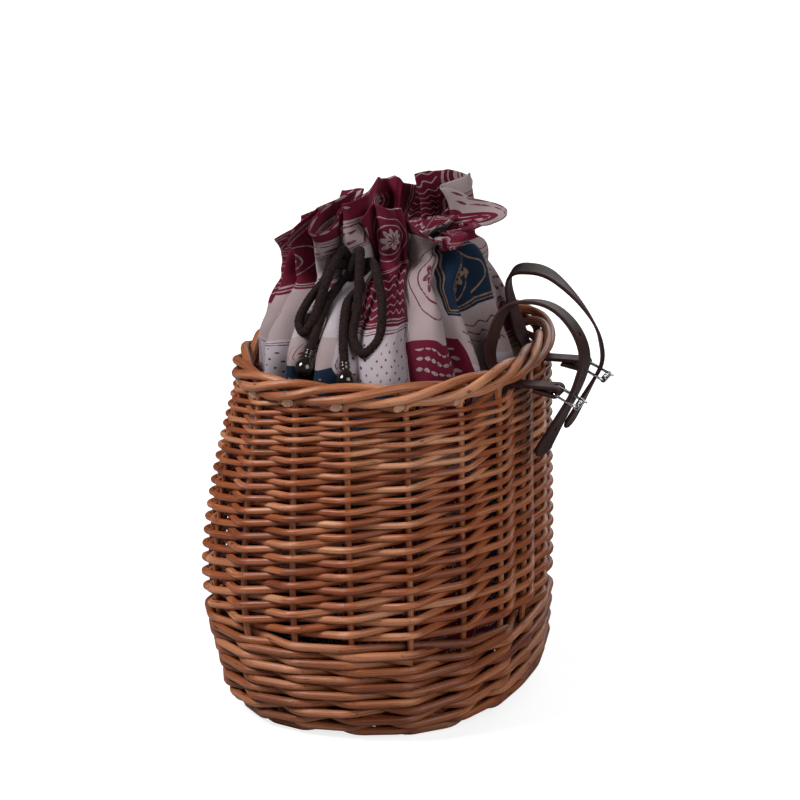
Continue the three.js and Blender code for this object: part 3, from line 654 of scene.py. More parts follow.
stakes = []
for i in range(STAKE_COUNT):
    line, out = stake_line(i)
    name = f"stake_{i + 1:02d}"
    sizes = []
    for p in line:
        grown = STAKE_RADIUS + (BORDER_RADIUS - STAKE_RADIUS) * ease(p.z, *THICKENING)
        sizes.append(grown * (1 + UNEVEN * noise.noise(p * 0.02)))
    sizes[-END_POINTS:] = [max(size, 0.95 * BORDER_RADIUS) for size in sizes[-END_POINTS:]]
    mesh = tube(name, line, sizes)
    slant_cut(mesh, line[-1], (line[-1] - line[-3]).normalized(), out)
    stakes.append(place(mesh, name, "basket", "willow_stake", name))
print("stakes:", len(stakes))

# %% [markdown]
# ## The base
# Under the basket is a woven oval: ribs run from the middle to the feet of the stakes, and thin rods go
# round them in parallel ovals, over one rib and under the next. Three more rods go round inside the heel.

# %% Ribs and rounds of the base
BASE_MIDDLE = 5.2
BASE_WAVE = 3.1
RIB_RADIUS = 1.9
RIB_INSETS = (70, 45, 20, 1)
ROUND_RADIUS = 2.05
ROUND_PITCH = 4.3
ROUND_COUNT = 17
ROUND_START = 2.2
BAY_STEPS = 8
FOOT_LEVELS = (2.5, 7.0, 11.5)


def inset_plan(angle, inset, z):
    return plan_point(angle, [max(reach - inset, 3) for reach in BASE_PLAN], z)


base_parts = []
for i in range(STAKE_COUNT):
    rib = spline([inset_plan(stake_angle(i), inset, BASE_MIDDLE) for inset in RIB_INSETS], 4)
    base_parts.append(tube("rib", rib, [RIB_RADIUS] * len(rib), sides=8))
rounds = []
for ring in range(ROUND_COUNT):
    corners = []
    for step in range(STAKE_COUNT * BAY_STEPS):
        wave = BASE_WAVE * math.cos(math.pi * (step / BAY_STEPS + ring))
        inset = ROUND_START + ring * ROUND_PITCH
        corners.append(inset_plan(stake_angle(step / BAY_STEPS), inset, BASE_MIDDLE + wave))
    rounds.append(corners)
for foot_level in FOOT_LEVELS:
    corners = [pass_stake(i, foot_level, -1, ROUND_RADIUS, 0) for i in range(STAKE_COUNT)]
    rounds.append(spaced(spline(corners + corners[:1], 6), 6)[:-1])
for line in rounds:
    base_parts.append(tube("round", line, [ROUND_RADIUS] * len(line), sides=8, cyclic=True))
base = place(joined("base", base_parts), "base_panel", "basket", "willow_base", "base_panel")

# %% [markdown]
# ## The straps
# A strap is made flat, as the saddler does: a strip with a rounded tip, punched holes and softened edges.
# Then it is bent along its route: folded round the buckle's bar, through the wall under the border, up
# inside, over in a loop for the handlebar, and down through the buckle. Each strap twists and leans in its
# own way.

# %% Route of a strap in its own plane
STRAP_X = 42
STRAP_WIDTH = 18
CHAPE_LENGTH = 31
CHAPE_FOLD = 16
CHAPE_GAP = 0.3
INSIDE_BEND = 5
LOOP_RADIUS = 32
LOOP_FLAT = 4
LOOP_RISE = 33
TAIL_LENGTH = 76
TIP_LENGTH = 12
TAIL_ANGLE = -math.radians(28)
BAR_RADIUS = 2 / math.sqrt(2)
PIVOT_FIT = 0.35
WRAP_RADIUS = BAR_RADIUS + PIVOT_FIT + STRAP_THICKNESS / 2


def back_reach(x, size):
    return size[2] * (1 - abs(x / size[0]) ** BACK_SQUARENESS) ** (1 / BACK_SQUARENESS)


half = STRAP_WIDTH / 2
border_depth = BORDER_HALF_WIDTH * 0.85 + STAKE_RADIUS
INSIDE_Y = back_reach(STRAP_X + half, WALL[3][1]) - border_depth - STRAP_FIT - STRAP_THICKNESS / 2
BAR_Y = back_reach(STRAP_X - half, size_at(SLOT_HEIGHT, WALL)) + CHAPE_LENGTH
BAR_Z = SLOT_HEIGHT - WRAP_RADIUS
LOOP_Y = INSIDE_Y + LOOP_RADIUS
LOOP_Z = RIM_HEIGHT + LOOP_RISE - LOOP_RADIUS / 2


def arc(y, z, radius, start, end, steps):
    turns = [start + (end - start) * k / steps for k in range(steps + 1)]
    return [Vector((0, y + radius * math.cos(a), z + radius * math.sin(a))) for a in turns]


route = [Vector((0, BAR_Y - CHAPE_FOLD, SLOT_HEIGHT - STRAP_THICKNESS - CHAPE_GAP))]
bend_ends = []
for bend in (
    (BAR_Y, BAR_Z, WRAP_RADIUS, -math.pi / 2, math.pi / 2, 24),
    (INSIDE_Y + INSIDE_BEND, SLOT_HEIGHT + INSIDE_BEND, INSIDE_BEND, -math.pi / 2, -math.pi, 16),
    (LOOP_Y, LOOP_Z, LOOP_RADIUS, math.pi, math.pi / 2, 32),
    (LOOP_Y + LOOP_FLAT, LOOP_Z, LOOP_RADIUS, math.pi / 2, TAIL_ANGLE, 40),
):
    route += arc(*bend)
    bend_ends.append(len(route) - 1)
tail_start = route[-1]
tail_way = Vector((0, math.sin(TAIL_ANGLE), -math.cos(TAIL_ANGLE)))
route.append(tail_start + tail_way * TAIL_LENGTH)
strap_runs = runs_along(route)
STRAP_LENGTH = strap_runs[-1]
INSIDE_START, LOOP_TOP, TAIL_START = (strap_runs[i] for i in bend_ends[1:])
INSIDE_MIDDLE = (INSIDE_START + strap_runs[bend_ends[1] + 1]) / 2
bar = Vector((0, BAR_Y, BAR_Z))
buckle_way = Vector((0, math.cos(TAIL_ANGLE), math.sin(TAIL_ANGLE)))
buckle_up = -tail_way
crossing = STRAP_LENGTH - TAIL_LENGTH + (bar - tail_start).dot(tail_way)
print("strap length in mm:", round(STRAP_LENGTH), "buckle crosses it at", round(crossing))


def on_route(run):
    """Place on the strap's centre line and its outward face direction."""
    i, share = locate(strap_runs, run)
    spot = route[i].lerp(route[i + 1], share)
    ahead = (route[i + 1] - route[i]).normalized()
    if 0 < i < len(route) - 2:
        before = (route[i] - route[i - 1]).normalized()
        after = (route[i + 2] - route[i + 1]).normalized()
        ahead = (ahead + before).lerp(ahead + after, share).normalized()
    return spot, ahead.cross(Vector((1, 0, 0)))


# %% A flat strip with holes
PUNCH_SPACING = 26
PUNCH_RADIUS = 1.5
SLIT_RADIUS = 1.8
EDGE_ROUND = 0.55


def cutter(run, length, radius):
    """Upright round or oblong punch at a distance along the flat strip."""
    shape = bmesh.new()
    bmesh.ops.create_cone(shape, cap_ends=True, segments=20, radius1=radius, radius2=radius, depth=12)
    for vert in shape.verts:
        vert.co.x += math.copysign(length / 2, vert.co.x) + run
    return finished(shape, "punch")


def flat_strip():
    shape, uv = grid(250, 8)
    for vert in shape.verts:
        run = (vert.co.x + 0.5) * STRAP_LENGTH
        into_tip = max(0, run - STRAP_LENGTH + TIP_LENGTH) / TIP_LENGTH
        width = STRAP_WIDTH * max(0.12, 1 - into_tip ** 2.4) ** 0.55
        vert.co = Vector((run, vert.co.y * width, -STRAP_THICKNESS / 2))
    grown = bmesh.ops.extrude_face_region(shape, geom=shape.faces[:], use_keep_orig=True)
    raised = [item for item in grown["geom"] if isinstance(item, bmesh.types.BMVert)]
    bmesh.ops.translate(shape, verts=raised, vec=(0, 0, STRAP_THICKNESS))
    mended(shape)
    rims = [e for e in shape.edges if len(e.link_faces) == 2 and e.calc_face_angle() > 1]
    bmesh.ops.bevel(shape, geom=rims, offset=EDGE_ROUND, segments=2, profile=0.5, affect="EDGES",
                    material=-1)
    for face in shape.faces:
        for corner in face.loops:
            corner[uv].uv = (MM * corner.vert.co.x, MM * corner.vert.co.y)
    return finished(shape, "strip")


wrap_middle = CHAPE_FOLD + math.pi * WRAP_RADIUS / 2
punches = [cutter(wrap_middle, 10.5, SLIT_RADIUS), cutter(crossing - 3.6, 3.0, SLIT_RADIUS)]
punches += [cutter(crossing + k * PUNCH_SPACING, 0, PUNCH_RADIUS) for k in (-2, -1, 1)]
punch_object = linked("punches", joined("punches", punches))
strip_object = linked("strip", flat_strip())
holes = strip_object.modifiers.new("holes", "BOOLEAN")
holes.operation = "DIFFERENCE"
holes.object = punch_object
graph = bpy.context.evaluated_depsgraph_get()
punched = bpy.data.meshes.new_from_object(strip_object.evaluated_get(graph))
for helper in (punch_object, strip_object):
    bpy.data.objects.remove(helper)

# %% Two strips bent along the route
BULGE_LENGTH = 16
SWAY_SHARE = 0.75
CREASE = 0.9


def bent_strap(x, turns, sway, bulge):
    """Bent strap: turns twist it in degrees, sway leans its loop, and bulge bends its inside leg."""
    mesh = punched.copy()
    stations = (0, INSIDE_START, INSIDE_MIDDLE, LOOP_TOP, TAIL_START, crossing, STRAP_LENGTH)
    twist = list(zip(stations, turns))
    for vert in mesh.vertices:
        run = min(max(vert.co.x, 0), STRAP_LENGTH)
        spot, face = on_route(run)
        turn = math.radians(flow(run, twist))
        wide = Vector((math.cos(turn), 0, 0)) - face * math.sin(turn)
        face = face * math.cos(turn) + Vector((math.sin(turn), 0, 0))
        looped = ease(run, INSIDE_START, LOOP_TOP)
        looped *= ease(crossing - run, 0, SWAY_SHARE * (crossing - LOOP_TOP))
        spot = spot + looped * Vector(sway)
        spot.y -= bulge * math.exp(-((run - INSIDE_MIDDLE) / BULGE_LENGTH) ** 2)
        vert.co = MM * (Vector((x, 0, 0)) + spot + face * vert.co.z + wide * vert.co.y)
    mesh.shade_smooth()
    shape = opened(mesh)
    mended(shape)
    for edge in shape.edges:
        edge.smooth = len(edge.link_faces) == 2 and edge.calc_face_angle(0) < CREASE
    return finished(shape, mesh)


straps = []
for name, x, turns, sway, bulge in (
    ("left_strap", STRAP_X, (0, 0, 10, 8, -10, -8, -26), (0, -12, 0), 8),
    ("right_strap", -STRAP_X, (0, 0, 12, -11, 26, 7, -12), (0, -36, 5), 5),
):
    straps.append(place(bent_strap(x, turns, sway, bulge), name, "basket", "strap_leather", name))

# %% [markdown]
# ## The buckles
# A roller buckle is a wire frame with a loose tube on its far bar, so that the strap slides over it, and a
# prong that is bent round the near bar and lies on the roller.

# %% Frame, roller and prong of each buckle
BUCKLE_LENGTH = 19
BUCKLE_HALF = STRAP_WIDTH / 2 + 0.8
FRAME_REACH = BUCKLE_HALF + 1
FRAME_BEND = 2.6
WIRE_RADIUS = 1.05
ROLLER_BORE = BAR_RADIUS + PIVOT_FIT
ROLLER_RADIUS = ROLLER_BORE + 0.6
ROLLER_HALF = BUCKLE_HALF - 0.4
ROLLER_LENGTH = 2 * ROLLER_HALF
ROLLER_EDGE = 0.25
ROLLER_PROFILE = [
    (0, ROLLER_BORE), (0, ROLLER_RADIUS - ROLLER_EDGE), (ROLLER_EDGE, ROLLER_RADIUS),
    (ROLLER_LENGTH - ROLLER_EDGE, ROLLER_RADIUS), (ROLLER_LENGTH, ROLLER_RADIUS - ROLLER_EDGE),
    (ROLLER_LENGTH, ROLLER_BORE), (0, ROLLER_BORE),
]
PRONG_EYE = ROLLER_BORE + WIRE_RADIUS
PRONG_LIFT = ROLLER_RADIUS + PIVOT_FIT + WIRE_RADIUS
PRONG_PATH = [(5, 3.0), (9, 3.3), (14, PRONG_LIFT - 0.2), (BUCKLE_LENGTH, PRONG_LIFT + 0.05),
              (BUCKLE_LENGTH + 4.6, PRONG_LIFT)]
PRONG_TIP = [0.95, 0.85, 0.6]


def in_buckle(x, run, rise, across=0):
    return Vector((x + across, 0, 0)) + bar + buckle_way * run + buckle_up * rise


def buckle_frame(name, x):
    ring = [in_buckle(x, 0, 0, across) for across in (-FRAME_REACH, 0, FRAME_REACH)]
    ring += [in_buckle(x, BUCKLE_LENGTH, 0, across) for across in (FRAME_REACH, 0, -FRAME_REACH)]
    line = []
    for i, corner in enumerate(ring):
        start = corner + (ring[i - 1] - corner).normalized() * FRAME_BEND
        end = corner + (ring[(i + 1) % len(ring)] - corner).normalized() * FRAME_BEND
        line += rounded(start, corner, end, 5)
    return tube(name, line, [WIRE_RADIUS] * len(line), sides=12, cyclic=True)


def buckle_prong(name, x):
    turns = [math.radians(a) for a in range(-20, -281, -12)]
    line = [in_buckle(x, PRONG_EYE * math.cos(a), PRONG_EYE * math.sin(a)) for a in turns]
    line = spline(line + [in_buckle(x, run, rise) for run, rise in PRONG_PATH], 3)
    sizes = [WIRE_RADIUS] * (len(line) - len(PRONG_TIP)) + PRONG_TIP
    return tube(name, line, sizes, sides=12)


def buckle_roller(name, x):
    seat = in_buckle(x, BUCKLE_LENGTH, 0, -ROLLER_HALF)
    roller = turned(name, ROLLER_PROFILE, seat, Vector((1, 0, 0)), 24)
    for face in roller.polygons:
        face.use_smooth = abs(face.normal.x) < 0.5
    return roller


buckles = []
for side, x in (("left", STRAP_X), ("right", -STRAP_X)):
    for part, body, make in (("frame", "buckle", buckle_frame), ("prong", "prong", buckle_prong),
                             ("roller", "roller", buckle_roller)):
        name = f"{side}_buckle_{part}"
        buckles.append(place(make(name, x), name, f"{side}_{body}", "buckle_steel", name))
print("buckle pieces:", len(buckles))

# %% [markdown]
# ## The liner
# The bag is one tube of cotton with a floor, gathered to a neck by the cord in its casing. Above it stands
# a frill, which is open along one seam. The cloth keeps its width where it is gathered, so it folds: round
# crests with sharp valleys at the neck, which open into wide lobes in the frill and die out towards the
# rim. The straps press two dents into it, and a wrinkled band inside the neck is the inner half of the
# casing.

# %% Profile and folds of the bag
# Each stop is a step of the climb, and there the height and the reach to the ends, the front and the back.
LINER_STOPS = [
    (0.0, (11.7, 2, 1, 1)), (1.0, (11.9, 98, 60, 66)), (1.5, (30, 112, 84, 86)), (2.4, (90, 116, 108, 102)),
    (3.6, (170, 118, 104, 105)), (5.0, (258, 118, 78, 98)), (5.55, (284, 107, 78, 87)),
    (6.05, (306, 80, 74, 74)), (6.5, (323, 51, 69, 65)), (6.75, (329, 46, 66, 58)),
    (7.0, (335, 46, 66, 58)), (7.45, (351, 54, 63, 63)), (7.9, (371, 60, 59, 63)), (8.1, (377, 63, 58, 62)),
]
RIM_RUN = 5.0
GATHER_START = 5.5
GATHER_END = 6.4
FRILL_RUN = 6.85
HEM_RUN = LINER_STOPS[-1][0]
FOLDS = 17
SMALL_FOLD = 12
PETAL_FLARE = 14
PETAL_DROP = 11
DROOP = 30
DROOP_ANGLE = 1.15
CRUMPLE = 3.2
FINE_CRUMPLE = 1.2
STRAP_DENT = 11
STRAP_DENT_WIDTH = 16
NECK_TILT = 0.235


def liner_stop(run, k):
    return flow(run, [(at, values[k]) for at, values in LINER_STOPS])


def liner_point(turn, run):
    """Point of the cloth: turn goes once round the bag, and run climbs from the floor to the hem."""
    angle = 2 * math.pi * turn
    z, end, front, back = (liner_stop(run, k) for k in range(4))
    compass = Vector((math.cos(angle), math.sin(angle), 0))
    aside = math.sin(angle)

    def uneven(scale, x, y, climb):
        return noise.noise(compass * scale + Vector((x, y, climb)))

    above = ease(run, FRILL_RUN, HEM_RUN)
    gather = ease(run, GATHER_START, GATHER_END)
    drift = 1.1 * math.sin(2 * angle + 0.7) + 0.8 * math.sin(3 * angle + 2.0)
    drift += 0.5 * math.sin(5 * angle + 0.4)
    sway = 0.9 * uneven(1.3, 0, 0, run * 0.6) * ease(6.6 - run, 0, 1.5)
    phase = FOLDS * angle + drift + sway
    vigour = 1.1 + 0.6 * uneven(1.7, 4, 1, run * 0.2)
    ridge = abs(math.cos(phase / 2))
    small = abs(math.cos(phase + 0.5 * math.sin(3 * angle)))
    depth = 4 * ease(run, 1.4, 4.0) + 15 * ease(run, 4.0, 5.2) + 4 * ease(run, 5.3, GATHER_END)
    fold = depth * vigour * (ridge - 0.72) * (1 - 0.3 * above)
    fold += SMALL_FOLD * gather * (small ** 0.8 - 0.75) * (1 - 0.5 * above)
    petal = math.sin(phase * 0.5 + 1.1 * math.sin(2 * angle + 1)) * vigour
    fold += above * (5 * math.cos(phase) + PETAL_FLARE * above * petal)
    hanging = max(math.cos(angle - DROOP_ANGLE), 0) ** 4
    fold += above * (2 * max(aside, 0) ** 2 - 2 * max(-aside, 0) ** 2)
    fold += 5 * hanging * math.sin(math.pi * above)
    crumple = CRUMPLE * uneven(6, 1, 8, run * 1.5) * ease(run, 1.2, 3)
    crumple += FINE_CRUMPLE * uneven(17, 3, 5, run * 2.2) * gather
    push = fold + crumple
    lean = angle + 0.9 * gather * (1 - 0.4 * above) * math.sin(phase) / FOLDS
    spot = plan_point(lean, [max(reach + push, 1) for reach in (end, front, back)], z)
    if spot.y > 0:
        pressed = math.exp(-((abs(spot.x) - STRAP_X) / STRAP_DENT_WIDTH) ** 2)
        spot.y -= STRAP_DENT * pressed * ease(run, 4.5, 5.1) * ease(6.7 - run, 0, 0.7)
    spot.z += ease(run, RIM_RUN, 6.6) * NECK_TILT * spot.y
    drop = PETAL_DROP * above * max(petal, -0.4) + 2 * math.cos(phase) + 5 * uneven(2.6, 3, 3, 0)
    drop += (11 + 3 * aside) * aside * aside + DROOP * above * hanging
    spot.z -= above * drop
    return spot


def casing_point(turn, part):
    """The inner half of the casing: a wrinkled band that covers the cord inside the neck."""
    angle = 2 * math.pi * turn
    inset = 9 + 13 * math.sin(math.pi * part) + 1.6 * math.cos(2 * FOLDS * angle + 3 * part)
    spot = plan_point(angle, [reach - inset for reach in NECK], NECK_HEIGHT + 26 * (part - 0.5))
    return spot + Vector((0, 0, NECK_TILT * spot.y))


# %% The cloth's mesh, and the cord's run through the casing
LINER_COLUMNS = 432
LINER_ROWS = 104
CLIMB_PARTS = 300
BAND_COLUMNS = 216
BAND_ROWS = 8
CLOTH_WIDTH = 0.72
NECK_STEPS = 120
NECK_INSET = 16
NECK_CORD_RADIUS = 2.6


def liner_mesh():
    shape, uv = grid(LINER_COLUMNS, LINER_ROWS)
    runs = {}
    for vert in shape.verts:
        runs[vert] = (vert.co.x + 0.5, HEM_RUN * max(vert.co.y + 0.5, 0) ** 0.7)
    profile = []
    for k in range(CLIMB_PARTS + 1):
        at = HEM_RUN * k / CLIMB_PARTS
        profile.append((liner_stop(at, 0), liner_stop(at, 2)))
    climbs = [0]
    for before, after in zip(profile, profile[1:]):
        climbs.append(climbs[-1] + math.dist(before, after))
    for face in shape.faces:
        face.smooth = True
        for corner in face.loops:
            turn, run = runs[corner.vert]
            part = run / HEM_RUN * CLIMB_PARTS
            step = min(int(part), CLIMB_PARTS - 1)
            climb = climbs[step] + (climbs[step + 1] - climbs[step]) * (part - step)
            corner[uv].uv = (CLOTH_WIDTH * turn, MM * climb)
    for vert, (turn, run) in runs.items():
        vert.co = MM * liner_point(turn, run)
    mended(shape, 1e-5)
    band = []
    for j in range(BAND_ROWS + 1):
        ring = [casing_point(k / BAND_COLUMNS, j / BAND_ROWS) for k in range(BAND_COLUMNS)]
        band.append([shape.verts.new(MM * spot) for spot in ring])
    for j in range(BAND_ROWS):
        for k in range(BAND_COLUMNS):
            around = (k + 1) % BAND_COLUMNS
            face = shape.faces.new((band[j][k], band[j + 1][k], band[j + 1][around], band[j][around]))
            face.smooth = True
            for corner, (u, v) in zip(face.loops, ((k, j), (k, j + 1), (k + 1, j + 1), (k + 1, j))):
                corner[uv].uv = (CLOTH_WIDTH * u / BAND_COLUMNS, 0.36 + 0.005 * v)
    return finished(shape, "liner_bag")


liner = place(liner_mesh(), "liner_bag", "liner", "liner_cotton", "liner_bag")
cloth = liner.modifiers.new("cloth", "SOLIDIFY")
cloth.thickness = 0.9 * MM
cloth.offset = 0

casing_run = []
for k in range(NECK_STEPS):
    spot = plan_point(2 * math.pi * k / NECK_STEPS, [reach - NECK_INSET for reach in NECK], NECK_HEIGHT)
    casing_run.append(spot + Vector((0, 0, NECK_TILT * spot.y)))
neck_mesh = tube("neck_run", casing_run, [NECK_CORD_RADIUS] * NECK_STEPS, sides=12, cyclic=True)
neck_run = place(neck_mesh, "drawstring_neck_run", "liner", "drawstring_knit", "drawstring")

# %% [markdown]
# ## A short way to write materials
# A finish is a little graph of shader nodes. A class keeps it readable: it starts on a material's
# Principled surface or a world's background, and its methods add nodes and set or link their inputs.


# %% Helpers for shader graphs
class Finish:
    def __init__(self, name, world=None):
        self.owner = world or bpy.data.materials.new(name)
        self.owner.use_nodes = True
        self.tree = self.owner.node_tree
        self.skin = self.tree.nodes["Background" if world else "Principled BSDF"]

    def put(self, socket, value):
        if isinstance(value, bpy.types.NodeSocket):
            self.tree.links.new(value, socket)
        else:
            socket.default_value = value

    def set(self, node=None, **values):
        for key, value in values.items():
            self.put((node or self.skin).inputs[key.replace("_", " ")], value)

    def node(self, kind, *values, out=0, **settings):
        made = self.tree.nodes.new("ShaderNode" + kind)
        for key, value in settings.items():
            setattr(made, key, value)
        for socket, value in zip(made.inputs, values):
            if value is not None:
                self.put(socket, value)
        return made.outputs[out]

    def math(self, operation, *values):
        return self.node("Math", *values, operation=operation)

    def ramp(self, factor, *stops, step=False):
        color = self.node("ValToRGB", factor)
        ramp = color.node.color_ramp
        ramp.interpolation = "CONSTANT" if step else "LINEAR"
        while len(ramp.elements) < len(stops):
            ramp.elements.new(0.5)
        for element, (at, tint) in zip(ramp.elements, stops):
            element.position = at
            element.color = (*tint, 1)
        return color

    def blend(self, factor, a, b, mode="MIX"):
        made = self.node("Mix", data_type="RGBA", blend_type=mode).node
        for index, value in ((0, factor), (6, a), (7, b)):
            self.put(made.inputs[index], value)
        return made.outputs[2]

    def shaded(self, color, grey):
        """A colour multiplied by a grey value."""
        return self.blend(1.0, color, self.node("CombineXYZ", grey, grey, grey), mode="MULTIPLY")

    def noise(self, where, scale, detail=2.0, stretch=None):
        if stretch:
            where = self.node("VectorMath", where, stretch, operation="MULTIPLY")
        made = self.node("TexNoise").node
        self.set(made, Vector=where, Scale=scale, Detail=detail)
        return made.outputs["Fac"]

    def bump(self, height, distance, strength):
        made = self.node("Bump").node
        self.set(made, Height=height, Distance=distance, Strength=strength)
        return made.outputs["Normal"]


def dress(pieces, *finishes):
    for piece in pieces:
        for finish in finishes:
            piece.data.materials.append(finish.owner)


# %% [markdown]
# ## Willow
# Peeled, varnished willow: reddish brown, streaked along the rod, darker on some lengths than on others,
# with small bud scars and a satin shine. The streaks follow the rod through its UV map.


# %% Willow finishes
def willow(name, dark, middle, light):
    finish = Finish(name)
    along = finish.node("UVMap")
    tone = finish.noise(along, 1.0, 2.0, stretch=(9, 25, 1))
    streak = finish.noise(along, 1.0, 3.0, stretch=(28, 900, 1))
    fine = finish.noise(along, 1.0, 2.0, stretch=(160, 2600, 1))
    mixed = finish.math("ADD", finish.math("MULTIPLY", tone, 0.64), finish.math("MULTIPLY", streak, 0.36))
    color = finish.ramp(mixed, (0.36, dark), (0.5, middle), (0.63, light))
    color = finish.shaded(color, finish.node("MapRange", fine, 0.3, 0.7, 0.74, 1.14))
    scar = finish.noise(along, 1.0, 1.0, stretch=(150, 300, 1))
    spot = finish.ramp(scar, (0.67, (0, 0, 0)), (0.72, (1, 1, 1)))
    color = finish.blend(finish.math("MULTIPLY", spot, 0.7), color, (*[0.25 * c for c in dark], 1))
    gloss = finish.node("MapRange", streak, 0.3, 0.7, 0.48, 0.34)
    rough = finish.math("ADD", finish.math("MULTIPLY", fine, 0.5), streak)
    finish.set(Base_Color=color, Roughness=gloss, Specular_IOR_Level=0.42,
               Normal=finish.bump(rough, 0.0005, 0.6))
    return finish


pith = Finish("willow_cut")
rings = pith.noise(pith.node("TexCoord", out=3), 900.0, 3.0)
pith.set(Base_Color=pith.ramp(rings, (0.3, (0.30, 0.150, 0.085)), (0.7, (0.55, 0.34, 0.22))),
         Roughness=0.75)

dress(weavers, willow("willow_weaver", (0.12, 0.018, 0.003), (0.32, 0.080, 0.022), (0.58, 0.265, 0.140)))
dress(stakes, willow("willow_stake", (0.14, 0.028, 0.006), (0.33, 0.102, 0.036), (0.55, 0.240, 0.125)),
      pith)
dress(wale, willow("willow_wale", (0.10, 0.016, 0.003), (0.26, 0.072, 0.022), (0.46, 0.180, 0.085)))
dress([base], willow("willow_base", (0.14, 0.038, 0.012), (0.29, 0.098, 0.040), (0.43, 0.185, 0.095)))

# %% [markdown]
# ## Leather
# The straps are smooth dark brown leather with a fine pebble grain and a few lighter scuffs.

# %% Leather finish
leather = Finish("strap_leather")
on_strap = leather.node("UVMap")
cells = leather.node("TexVoronoi", on_strap, None, 1100.0, out=0)
cloudy = leather.noise(on_strap, 60.0, 4.0)
scuff = leather.noise(on_strap, 1.0, 4.0, stretch=(300, 900, 1))
scuff = leather.ramp(scuff, (0.62, (0, 0, 0)), (0.8, (0.5, 0.5, 0.5)))
brown = leather.ramp(cloudy, (0.3, (0.022, 0.008, 0.008)), (0.7, (0.042, 0.017, 0.016)))
brown = leather.blend(scuff, brown, (0.070, 0.036, 0.032, 1))
leather.set(Base_Color=brown, Roughness=leather.node("MapRange", cloudy, 0.3, 0.7, 0.42, 0.58),
            Specular_IOR_Level=0.13, Normal=leather.bump(cells, 0.0003, 0.35))
for piece in straps:
    piece.data.materials.clear()
dress(straps, leather)

# %% [markdown]
# ## Steel, cord and horn
# The buckles are bright plated wire with a faint haze. The cord is matt dark brown yarn, lighter where
# fibres stand out. The bells are polished plastic with the cloudy depth of horn.

# %% Steel, yarn and horn finishes
steel = Finish("buckle_steel")
haze = steel.noise(steel.node("TexCoord", out=3), 700.0, 3.0)
steel.set(Base_Color=(0.5, 0.5, 0.51, 1), Metallic=1.0,
          Roughness=steel.node("MapRange", haze, 0.3, 0.7, 0.1, 0.24))
dress(buckles, steel)

yarn = Finish("drawstring_knit")
in_yarn = yarn.node("TexCoord", out=3)
fuzz = yarn.noise(in_yarn, 2600.0, 3.0)
loops = yarn.noise(in_yarn, 500.0, 2.0)
yarn.set(Base_Color=yarn.ramp(loops, (0.3, (0.006, 0.003, 0.0028)), (0.7, (0.026, 0.013, 0.012))),
         Roughness=0.95, Specular_IOR_Level=0.15, Sheen_Weight=0.02, Normal=yarn.bump(fuzz, 0.0006, 0.8))
dress([*cords.values(), knot, neck_run], yarn)

horn = Finish("cord_end_horn")
cloud = horn.noise(horn.node("TexCoord", out=3), 160.0, 4.0)
horn.set(Base_Color=horn.ramp(cloud, (0.35, (0.006, 0.004, 0.003)), (0.7, (0.022, 0.013, 0.009))),
         Roughness=horn.node("MapRange", cloud, 0.3, 0.7, 0.12, 0.22), Coat_Weight=0.5, Coat_Roughness=0.06)
dress(bells.values(), horn)

# %% [markdown]
# ## Printed cotton
# The cloth carries a plain patchwork print: burgundy, cream, navy, white and tan blocks with wavy edges,
# some with a double frame line, and each with a stock motif of waves, dots, leaf rows or an eight-petalled
# flower. The blocks come from rounding the UV map down to whole tiles. Each column of tiles is shifted, and
# each tile is split in two. Random values per block pick its colours and its motif, burgundy in the frill.
# Low down, where the bag sits inside the basket, the blocks are only dark burgundy or navy: print colours
# kept dark there as painted shade on the cloth behind the weave.

# %% Blocks of the patchwork
TILE_WIDTH = 0.060
TILE_HEIGHT = 0.074
TILES_ROUND = 12
# Blocks whose middle climbs less than this are painted shade: they get only dark burgundy or navy.
PAINTED_SHADE_BELOW = 0.255
RED_ABOVE = 0.39
BURGUNDY = (0.105, 0.004, 0.018)
CREAM = (0.31, 0.240, 0.245)
NAVY = (0.005, 0.015, 0.035)
WHITE = (0.38, 0.330, 0.355)
TAN = (0.22, 0.130, 0.080)
BROWN = (0.050, 0.012, 0.010)

cotton = Finish("liner_cotton")


def sum_of(name):
    """Function that adds one kind of maths node to the cotton's graph."""
    return lambda *values: cotton.math(name, *values)


add, sub, mul, div = map(sum_of, ("ADD", "SUBTRACT", "MULTIPLY", "DIVIDE"))
less, more, least = map(sum_of, ("LESS_THAN", "GREATER_THAN", "MINIMUM"))
whole, fract, absolute, sine = map(sum_of, ("FLOOR", "FRACT", "ABSOLUTE", "SINE"))


def chance_of(a, b, c):
    """Random value from 0 to 1 that belongs to three numbers."""
    return cotton.node("TexWhiteNoise", cotton.node("CombineXYZ", a, b, c), out=0)


def bent(value, scale, amount):
    """The value, moved to and fro by a noise."""
    return add(value, mul(sub(cotton.noise(cloth_map, scale, 2.0), 0.5), amount))


cloth_map = cotton.node("UVMap")
on_cloth = cotton.node("SeparateXYZ", cloth_map)
across = bent(on_cloth, 26.0, 0.022)
upward = bent(on_cloth.node.outputs[1], 19.0, 0.026)
column_at = div(across, TILE_WIDTH)
column = cotton.math("FLOORED_MODULO", whole(column_at), float(TILES_ROUND))
shift = chance_of(column, 2.0, 9.0)
row_at = add(div(upward, TILE_HEIGHT), shift)
row = whole(row_at)
fy = fract(row_at)
split = add(mul(chance_of(column, row, 21.0), 0.3), 0.5)
upper = more(fy, split)
chance = chance_of(column, row, mul(upper, 3.0))
chance_two = chance_of(column, row, add(mul(upper, 5.0), 11.0))
middle = mul(add(sub(row, shift), mul(add(split, upper), 0.5)), TILE_HEIGHT)
